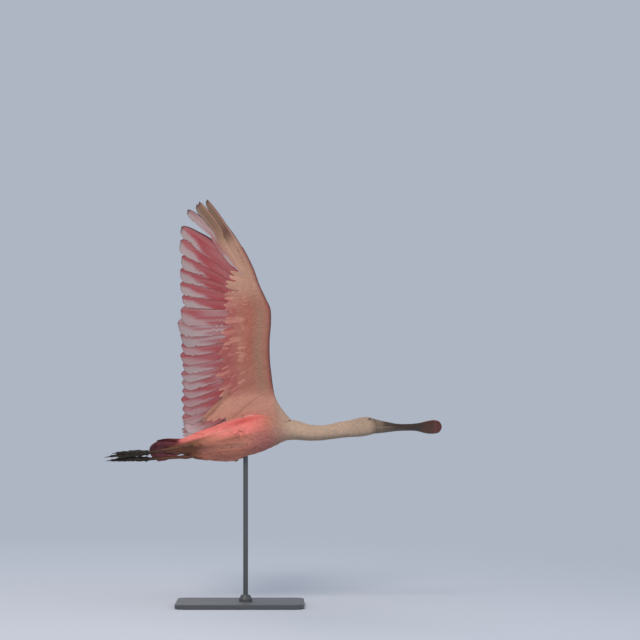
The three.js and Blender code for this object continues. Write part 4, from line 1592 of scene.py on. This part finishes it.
@dataclass
class Tail:
    """The short rounded fan of the tail: twelve stiff feathers and the coverts at their base."""

    rng: np.random.Generator
    count: int = 12
    root_x: float = -128.0
    root_spread: float = 9.0
    length: float = 98.0
    shorter_outside: float = 15.0
    fan: float = math.radians(19)
    vane: float = 9.5
    thickness: float = 0.35
    stacking: float = 1.6
    vane_tilt: float = 0.5
    spread: Knots = Knots((-128, 14), (-160, 30), (-200, 37), (-226, 40))
    height: Knots = Knots((-128, -24.5), (-160, -28.5), (-200, -35.5), (-214, -38.5), (-226, -41))
    arch: float = 5.0
    covert_length: float = 34.0
    covert_half_width: float = 5.6
    covert_fan: float = math.radians(17)
    coverts_across: int = 11
    covert_rows: tuple[float, float, float] = (-176.0, -134.0, 6.0)
    rump_depth: float = 5.5

    def place(self, x: Array, across: Array, off: Array) -> Array:
        """Row points of places on the fan's arched surface."""
        rise = self.height(x) - self.arch * (across / 40) ** 2 * step(-128, -200, x) + off
        return POSE.world(np.stack([x, across, rise], -1))

    def build(self) -> bpy.types.Object:
        """Makes the tail feathers and their coverts.

        Returns:
            The piece.
        """
        mesh = FeatherMesh("tail_feathers")
        u, v, layer, faces = VaneForm(20, 6, closed=True).grid()
        for k in range(self.count):
            turn = (k + 0.5) / self.count * 2 - 1
            length = self.length - self.shorter_outside * abs(turn) ** 2.2
            angle = self.fan * turn
            past = np.clip((u - 0.88) / 0.12, 0, 1)
            wide = self.vane * (0.45 + 0.55 * step(0, 0.4, u))
            half = wide * (0.12 + 0.88 * np.sqrt(1 - past**2)) * v
            x = self.root_x - length * u * math.cos(angle) + math.sin(angle) * half
            y = self.root_spread * turn + length * u * math.sin(angle) + math.cos(angle) * half
            tilt = self.vane_tilt * np.sign(turn) * v
            off = self.stacking * (1 - abs(turn)) - tilt + (layer - 0.5) * self.thickness
            points = self.place(x, y, off)[None]
            island = bake_cell(k, 4, u, two_faces(v, layer))
            colours = (self.tint(turn, u, v) * self.rng.normal(1, 0.05))[None]
            mesh.add(points, colours, island, u, v, outward(points[0], faces))
        for face in Face:
            for x in np.arange(*self.covert_rows):
                self.coverts(mesh, face, x)
        finish = FeatherFinish("tail_vanes", 0.65, barb_spacing=1.3, vane_length=90, bump=0.35).build()
        return publish(mesh.build(), finish, "tail_feathers", "tail")

    @staticmethod
    def tint(turn: float, u: Array, v: Array) -> Array:
        """Colour of one tail feather, rosier on the bird's right and browner on its left."""
        rosy = step(0.1, 0.7, u) * (0.4 + 0.6 * np.abs(v)) * step(0.2, -0.6, turn)
        dark_edges = np.maximum(step(0.93, 1.0, u) * 0.5, step(0.7, 1.0, np.abs(v)) * 0.3)
        return lay(
            HUES.crimson,
            (HUES.rose, 0.5 * rosy),
            (HUES.thigh_brown * 0.7, np.full_like(u, 0.4 * step(0.0, 0.9, turn))),
            (HUES.dusky, dark_edges),
        )

    def coverts(self, mesh: FeatherMesh, face: Face, root_x: float) -> None:
        """Adds one row of the coverts over or under the base of the fan."""
        form = VaneForm(6, 4, 0.5, 0.62, 0.25)
        u, v, _, faces = form.grid()
        number = self.coverts_across
        turn = np.linspace(-1, 1, number) + self.rng.normal(0, 0.05, number)
        root_y = turn * self.spread(root_x) * 0.78
        angle = self.covert_fan * turn
        c, s = np.cos(angle)[:, None], np.sin(angle)[:, None]
        length = (self.covert_length * self.rng.normal(1, 0.08, number))[:, None]
        half = self.covert_half_width * form.outline(u)[None] * v[None]
        x = root_x - length * c * u[None] + s * half
        y = root_y[:, None] + length * s * u[None] + c * half
        body = self.rump_depth * float(step(-205, -130, root_x))
        off = face.value * (2.0 + body * (1 - u[None]) + 1.3 * u[None])
        points = self.place(x, y, off)
        tint = mix(HUES.crimson, HUES.coral, np.full(number, float(step(-172, -135, root_x)) * 0.8))
        tint = tint * self.rng.normal(1, 0.07, (number, 1))
        # Painted shade: each covert darker towards its root, where the row before covers it.
        colours = tint[:, None] * (0.85 + 0.2 * u[None, :, None])
        home = BODY.unwrap(np.stack([np.full(number, root_x), root_y, np.full(number, -30.0)], -1))
        wind = towards(points[0], faces, POSE.turn(np.array([0.0, 0.0, float(face.value)])))
        mesh.add(points, colours, bake_patches(home, u, v), u, v, wind)


@dataclass
class Bill:
    """The flat bill that opens into the spoon, its two halves meeting along the gape."""

    middle: Knots = Knots(
        (341, 36.7), (352, 35.6), (365, 34.9), (392, 33.7), (420, 33.9), (439, 34.4), (450, 34.1), (462, 34),
        (474, 34.4), (487, 35.4), (497, 35), (505, 34.8)
    )
    width: Knots = Knots(
        (341, 16.2), (352, 14.8), (365, 13.6), (392, 11.3), (420, 11.6), (439, 13.6), (450, 17), (462, 22.4),
        (474, 26), (487, 26.8), (497, 22.8), (502, 15), (505, 4)
    )
    depth: Knots = Knots(
        (341, 17.6), (352, 15.2), (365, 12.7), (392, 7.3), (420, 4.9), (439, 4.4), (450, 4.0), (462, 3.8),
        (474, 3.6), (487, 3.4), (497, 2.8), (505, 1.6)
    )
    gape_drop: Knots = Knots((341, 7.0), (365, 4.6), (392, 1.8), (430, 0.0))
    start: float = 341.0
    end: float = 505.0
    gape: float = 0.5
    rim: float = 0.35
    fullness: float = 2.6
    tip_crowding: float = 1.25
    groove: float = 0.55
    wrinkle: float = 0.14
    nail: float = 0.35
    pit: float = 0.12
    keel: float = 0.9
    nostril: float = 1.5
    nostril_x: float = 371.0
    nostril_aside: float = 0.34
    along: int = 96
    across: int = 24

    def half(self, upper: bool) -> bpy.types.Object:
        """Makes one half of the bill.

        Args:
            upper: Whether it is the upper half.

        Returns:
            The piece.
        """
        form = grid_form(self.across, self.along, closed=True)
        shares = np.array([v.co[:] for v in form.verts])
        along, across, outer = (shares[:, 1] + 1) / 2, shares[:, 0], shares[:, 2] > 0.5
        x = self.start + (self.end - self.start) * (1 - (1 - along) ** self.tip_crowding)
        swing = np.sin(across * math.pi / 2)
        middle, depth, drop = self.middle(x), self.depth(x), self.gape_drop(x)
        level = middle - drop
        if upper:
            wide = swing
            low = np.maximum(level + self.gape / 2, middle - depth * self.fall(swing))
            high = middle + self.rim + (depth - self.rim) * self.fall(swing) + self.relief(x, swing, upper)
        else:
            wide = swing * (1 - (drop / depth) ** 2) ** (1 / self.fullness)
            high = level - self.gape / 2
            low = np.minimum(high - self.rim * 0.5, middle - depth * self.fall(wide))
            low = low - self.relief(x, swing, upper)
        points = np.stack([x, self.width(x) * wide, np.where(outer == upper, high, low)], -1)
        for vert, place in zip(form.verts, POSE.world(points)):
            vert.co = place
        bmesh.ops.recalc_face_normals(form, faces=form.faces)
        piece = object_from("bill_upper_horn" if upper else "bill_lower_horn", form)
        set_tint(piece.data, self.tint(x, swing, upper))
        return piece

    def fall(self, wide: Array) -> Array:
        """Share of the depth left at a share of the width."""
        return np.sqrt(np.clip(1 - np.abs(wide) ** self.fullness, 0, 1))

    def relief(self, x: Array, swing: Array, upper: bool) -> Array:
        """Grooves, nostril slits, cross wrinkles, pits and nail, as small changes of height."""
        aside = np.abs(swing)
        along_blade = step(372, 392, x) * step(500, 485, x)
        edge_groove = -self.groove * bell(0.80, 0.07, aside) * along_blade
        wrinkles = self.wrinkle * np.sin(x * 2.1 + 3 * aside) * step(400, 360, x) * (1 - aside)
        pits = self.pit * np.sin(1.9 * x) * np.sin(9 * swing) * step(452, 468, x)
        if not upper:
            keel = -self.keel * bell(0, 0.3, swing) * bell(375, 22, x)
            return 0.5 * edge_groove + wrinkles + keel + pits
        nail = self.nail * bell(500, 4, x) * bell(0, 0.35, swing)
        nostril = -self.nostril * bell(self.nostril_x, 5.5, x) * bell(self.nostril_aside, 0.075, aside)
        return edge_groove + wrinkles + nostril + nail + pits

    def tint(self, x: Array, swing: Array, upper: bool) -> Array:
        """Colour of the horn: grey-brown blade, darker ridge and a red-brown spoon with a pale rim, and
        painted shade along the gape, in the grooves and in the nostril slits.
        """
        aside = np.abs(swing)
        # Painted shade: darker along the gape where the halves meet, in the side grooves and in the nostril
        # slits.
        gape_shade = step(0.86, 0.97, aside) * step(350, 366, x) * step(470, 440, x)
        groove = bell(0.78, 0.08, aside) * step(372, 392, x)
        ridge = bell(0, 0.5, swing) * step(346, 366, x) * step(470, 440, x)
        pale_keel = bell(0, 0.16, swing) * step(350, 362, x) * step(430, 395, x)
        nostril = bell(self.nostril_x, 5, x) * bell(self.nostril_aside, 0.07, aside)
        return lay(
            HUES.cream_grey * 0.62,
            (HUES.bill_root, step(348, 368, x)),
            (HUES.bill_blade, step(362, 402, x)),
            (HUES.spoon, step(446, 470, x)),
            (HUES.spoon_tip, step(476, 492, x)),
            (HUES.spoon_line, bell(489, 2.2, x) * 0.6),
            (HUES.bill_ridge, ridge * 0.8) if upper else (HUES.bill_keel, pale_keel * 0.6),
            (HUES.bill_gape_shade, gape_shade * 0.75),
            (HUES.bill_groove_shade, groove * 0.45),
            (HUES.nostril, nostril * 0.9 * upper),
        )

    def build(self) -> None:
        """Makes both halves."""
        horn = HornFinish(
            "dry_bill_horn", "4E4034", roughness=0.48, grain=1.6, mottle=0.45, stretch=2.5, bump=0.2
        ).build()
        for upper, node in ((True, "bill_upper"), (False, "bill_lower")):
            publish(self.half(upper), horn, "bill", node)


@dataclass
class Eye:
    """One eye in its socket, with an upper and a lower lid of bare skin round it."""

    side: Side
    x: float = 323.0
    out: float = 14.6
    up: float = 46.0
    radius: float = 5.2
    looks: Place = (0.16, 1.0, 0.14)
    lid_ring: Pair = (4.5, 2.35)
    lid_half: Pair = (0.75, 0.8)
    lid_squeeze: float = 0.88
    lid_slant: float = 0.05
    lid_corners: int = 10
    lid_steps: int = 40

    def build(self) -> None:
        """Makes the eyeball and its lids."""
        sign, name = self.side.value, self.side.name.lower()
        centre = POSE.world(np.array([self.x, sign * self.out, self.up]))
        forward, aside, upward = self.looks
        axis = POSE.turn(unit(np.array([forward, sign * aside, upward])))
        turn = Vector(axis).to_track_quat("Z", "Y").to_matrix().to_4x4()
        place = Matrix.Translation(Vector(centre)) @ turn
        form = bmesh.new()
        bmesh.ops.create_uvsphere(form, u_segments=40, v_segments=24, radius=self.radius * MM, matrix=place)
        ball = object_from(f"eyeball_{name}", form)
        publish(ball, EyeFinish(self.side, centre, axis).build(), "eye", f"eye_{name}")
        self.lids(place, name)

    def lids(self, place: Matrix, name: str) -> None:
        """Makes the ring of lids, fuller above than below.

        Args:
            place: The eye's place, its axis along local Z.
            name: The side's name.
        """
        form = bmesh.new()
        (reach, height), (half_reach, half_height) = self.lid_ring, self.lid_half
        for k in range(self.lid_corners):
            angle = 2 * math.pi * k / self.lid_corners
            corner = (reach + half_reach * math.cos(angle), 0, height + half_height * math.sin(angle))
            form.verts.new(Vector(corner) * MM)
        corners = form.verts[:]
        edges = [form.edges.new(pair) for pair in zip(corners, corners[1:] + corners[:1])]
        bmesh.ops.spin(
            form, geom=corners + edges, cent=(0, 0, 0), axis=(0, 0, 1), angle=2 * math.pi,
            steps=self.lid_steps, use_merge=True, use_duplicate=False,
        )
        bmesh.ops.remove_doubles(form, verts=form.verts, dist=0.001 * MM)
        bmesh.ops.recalc_face_normals(form, faces=form.faces)
        for vert in form.verts:
            vert.co.y *= self.lid_squeeze
            vert.co.z += self.lid_slant * vert.co.x
        bmesh.ops.transform(form, verts=form.verts, matrix=place)
        ring = object_from(f"eyelids_{name}", form)
        set_tint(ring.data, np.broadcast_to(HUES.eyelid, (len(ring.data.vertices), 3)))
        finish = HornFinish(f"lid_skin_{name}", "4A3E36", roughness=0.6, grain=0.6, mottle=0.5, bump=0.3)
        publish(ring, finish.build(), "neck_plumage")


@dataclass
class Leg:
    """One bare leg trailing behind: scaled shank, thicker heel joint, four toes with claws."""

    side: Side
    knee: Place
    heel: Place
    ankle: Place
    toes: tuple[Place, ...]
    tibia_x: float = -104.0
    tibia_steps: int = 12
    shank_steps: int = 52
    shank_radius: float = 3.9
    heel_radius: float = 5.7
    ankle_swell: float = 0.9
    scute: float = 0.035
    toe_steps: int = 30
    toe_radii: Pair = (6.3, 2.5)
    toe_sag: float = 1.6
    toe_scute: float = 0.04
    pad: float = 0.13
    flesh_end: float = 0.88
    long_toe: float = 60.0
    claw_radius: float = 1.7
    claw_tip: float = 0.12

    def path(self) -> Array:
        """The leg's line from inside the thigh to the ankle, finely stepped."""
        knee, heel, ankle = map(np.array, (self.knee, self.heel, self.ankle))
        start = knee + (heel - knee) * (knee[0] - self.tibia_x) / (knee[0] - heel[0])
        first = start + (heel - start) * np.linspace(0, 1, self.tibia_steps)[:, None]
        second = heel + (ankle - heel) * np.linspace(0, 1, self.shank_steps)[1:, None]
        line = np.concatenate([first, second])
        for _ in range(4):
            line[1:-1] = (line[:-2] + 2 * line[1:-1] + line[2:]) / 4
        return line

    @staticmethod
    def tube(
        line: Array, radii: Array, sides: int, scute: float
    ) -> tuple[bmesh.types.BMesh, Array]:
        """Makes a closed round tube along a line, with rows of scutes on its front.

        Args:
            line: Bird points along the middle.
            radii: Radius at each point.
            sides: Corners round the tube.
            scute: Height of the scutes, as a share of the radius.

        Returns:
            The form, and for each point its share along.
        """
        form = bmesh.new()
        bmesh.ops.create_cone(form, cap_ends=True, segments=sides, radius1=1, radius2=1, depth=1)
        upright = [e for e in form.edges if abs(e.verts[0].co.z - e.verts[1].co.z) > 0.5]
        bmesh.ops.subdivide_edges(form, edges=upright, cuts=len(line) - 2, use_grid_fill=True)
        tangent = unit(np.gradient(line, axis=0))
        first = unit(np.cross(tangent, np.array([0.0, 1.0, 0.0])))
        second = unit(np.cross(tangent, first))
        shares = np.empty(len(form.verts))
        for index, vert in enumerate(form.verts):
            share = vert.co.z + 0.5
            k = int(round(share * (len(line) - 1)))
            angle = math.atan2(vert.co.y, vert.co.x)
            ridge = 1 + scute * (1 if k % 2 else -1) * max(math.cos(angle), 0)
            reach = math.hypot(vert.co.x, vert.co.y) * radii[k] * ridge
            vert.co = POSE.world(line[k] + reach * (math.cos(angle) * first[k] + math.sin(angle) * second[k]))
            shares[index] = share
        bmesh.ops.recalc_face_normals(form, faces=form.faces)
        return form, shares

    def shank(self, name: str) -> None:
        """Makes the bare shank with its heel joint."""
        line = self.path()
        along = np.linspace(0, 1, len(line))
        heel_at = (self.tibia_steps - 1) / (len(line) - 1)
        radii = self.shank_radius + (self.heel_radius - self.shank_radius) * bell(heel_at, 0.07, along)
        radii = radii + self.ankle_swell * step(0.93, 1.0, along)
        form, shares = self.tube(line, radii, 20, self.scute)
        piece = object_from(f"leg_{name}_shank", form)
        set_tint(piece.data, mix(HUES.shank, HUES.dark_shank, step(0.5, 1.0, shares)))
        finish = HornFinish(f"leg_scutes_{name}", "33231C", roughness=0.55, grain=1.8, mottle=0.6, bump=0.5)
        publish(piece, finish.build(), "leg_skin", f"leg_{name}")

    def foot(self, name: str) -> None:
        """Makes the toes as one piece and the claws as another."""
        toes, claws = bmesh.new(), bmesh.new()
        for tip in self.toes:
            self.toe(np.array(self.ankle), np.array(tip), toes, claws)
        foot = object_from(f"foot_{name}_toes", toes)
        set_tint(foot.data, np.broadcast_to(HUES.toe, (len(foot.data.vertices), 3)))
        skin = HornFinish(
            f"toe_scales_{name}", "161512", roughness=0.8, grain=1.5, mottle=0.6, bump=0.5, specular=0.1
        )
        publish(foot, skin.build(), "foot_skin", f"foot_{name}")
        horn = HornFinish(
            f"claw_horn_{name}", "0E0D0C", roughness=0.45, grain=0.8, mottle=0.5, bump=0.1, plain="1C1A17"
        )
        publish(object_from(f"foot_{name}_claws", claws), horn.build(), "foot_skin")

    def toe(
        self, root: Array, tip: Array, toes: bmesh.types.BMesh, claws: bmesh.types.BMesh
    ) -> None:
        """Adds one toe, padded between its joints, and the claw that grows out of its end.

        Args:
            root: Where the toe leaves the ankle, in bird millimetres.
            tip: The claw's point.
            toes: The form that takes the flesh.
            claws: The form that takes the claw.
        """
        joints = 4 if np.linalg.norm(tip - root) >= self.long_toe else 2
        share = np.linspace(0, 1, self.toe_steps)
        line = root + (tip - root) * share[:, None]
        line[:, 2] += self.toe_sag * np.sin(share * math.pi)
        flesh = share <= self.flesh_end
        thick, thin = self.toe_radii
        pads = 1 + self.pad * np.cos(share / self.flesh_end * 2 * math.pi * joints)
        radii = (thick - (thick - thin) * share) * pads
        radii[np.searchsorted(share, self.flesh_end) - 1] *= 0.7
        join_form(toes, self.tube(line[flesh], radii[flesh], 12, self.toe_scute)[0])
        last = line[flesh][-2]
        share = np.linspace(0, 1, 9)
        horn = last + (tip - last) * share[:, None]
        horn[:, 2] -= self.toe_sag * share**2
        radii = self.claw_radius * (1 - share) ** 0.7 + self.claw_tip
        join_form(claws, self.tube(horn, radii, 10, 0.0)[0])

    def build(self) -> None:
        """Makes the leg and its foot."""
        name = self.side.name.lower()
        self.shank(name)
        self.foot(name)


@dataclass(frozen=True)
class Stand:
    """The base, collar and rod, kept as solids and painted."""

    nodes: tuple[str, ...] = ("stand_base", "stand_collar", "stand_rod")

    def build(self) -> None:
        """Paints the stand."""
        paint = PaintedSteelFinish().build()
        for name in self.nodes:
            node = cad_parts[name]
            node.data.materials.clear()
            node.data.materials.append(paint)
            LOG.info("%s: painted", name)


@dataclass
class Studio:
    """Plain pale floor and backdrop, soft lights and the camera at the photo's angle."""

    sky: str = "AEB6C4"
    ground: str = "C3C9D2"
    frame_width: float = 1.6
    look_at: Pair = (0.2, 0.715)
    distance: float = 9.0
    sensor: float = 36.0
    floor_radius: float = 3.4
    fade_from: float = 0.5
    lamps: tuple[tuple[str, Place, float, float, str], ...] = (
        ("key", (-0.9, -3.4, 3.6), 1.6, 128.0, "FFF2E6"),
        ("fill", (2.6, -3.0, 1.4), 2.5, 28.0, "EEF2FF"),
        ("rim", (-1.5, 3.2, 3.0), 2.0, 50.0, "FFF6EC"),
    )
    lamps_aim: Place = (0.0, 0.1, 0.6)

    def floor(self) -> None:
        """Makes a pale floor that fades out into the backdrop."""
        form = bmesh.new()
        bmesh.ops.create_circle(form, cap_ends=True, segments=96, radius=self.floor_radius)
        piece = object_from("floor", form, smooth=False)
        material, tree, shader, place = new_material("pale_floor")
        reach = add_node(tree, "VectorMath", {"operation": "LENGTH"}, {0: place}).outputs["Value"]
        fading = {
            "interpolation_type": "SMOOTHSTEP", "From Min": self.fade_from,
            "From Max": self.floor_radius * 0.97, "To Min": 1.0, "To Max": 0.0,
        }
        fade = add_node(tree, "MapRange", fading, {"Value": reach})
        matte = {"Base Color": (*linear(self.ground), 1), "Roughness": 0.9, "Specular IOR Level": 0.1}
        wire(tree, shader, matte, {"Alpha": fade.outputs[0]})
        piece.data.materials.append(material)

    def lights(self) -> None:
        """Adds an even sky and three soft lights."""
        world = bpy.data.worlds.new("pale_sky")
        world.use_nodes = True
        back = world.node_tree.nodes["Background"]
        wire(world.node_tree, back, {"Color": (*linear(self.sky), 1), "Strength": 1.0})
        bpy.context.scene.world = world
        for name, place, size, power, colour in self.lamps:
            data = bpy.data.lights.new(name, "AREA")
            data.energy = power
            data.size = size
            data.color = tuple(linear(colour))
            lamp = bpy.data.objects.new(name, data)
            bpy.context.scene.collection.objects.link(lamp)
            lamp.location = place
            aim = Vector(self.lamps_aim) - Vector(place)
            lamp.rotation_euler = aim.to_track_quat("-Z", "Y").to_euler()

    def camera(self) -> None:
        """Adds the camera, level and square to the bird's flight."""
        data = bpy.data.cameras.new("camera")
        data.sensor_width = self.sensor
        data.lens = self.sensor * self.distance / self.frame_width
        data.clip_end = 100
        lens = bpy.data.objects.new("camera", data)
        bpy.context.scene.collection.objects.link(lens)
        x, z = self.look_at
        lens.location = (x, -self.distance, z)
        lens.rotation_euler = (math.pi / 2, 0, 0)
        bpy.context.scene.camera = lens

    def build(self) -> None:
        """Sets up the studio."""
        self.floor()
        self.lights()
        self.camera()
        bpy.context.scene.view_settings.view_transform = "Standard"


def main() -> None:
    """Builds every sub-assembly in order."""
    logging.basicConfig(level=logging.INFO, format="%(name)s %(message)s")
    rng = np.random.default_rng(SEED)
    Studio().build()
    Stand().build()
    skin = Skin().build()
    ContourCoat(skin, rng).build()
    for side in Side:
        Wing(side, rng).build()
        Eye(side).build()
    Tail(rng).build()
    Bill().build()
    Leg(
        Side.RIGHT, (-2, -30, -20), (-134, -25, -45), (-228, -9, -54),
        ((-337, -5.5, -65), (-319, -15, -60), (-312, -2.5, -68), (-284, -10, -51)),
    ).build()
    Leg(
        Side.LEFT, (-2, 24, -25), (-134, 11, -51), (-230, 7.5, -60.5),
        ((-335, 4, -69), (-315, 11.5, -64), (-309, 5, -62), (-282, 9, -58)),
    ).build()


if __name__ == "__main__":
    main()
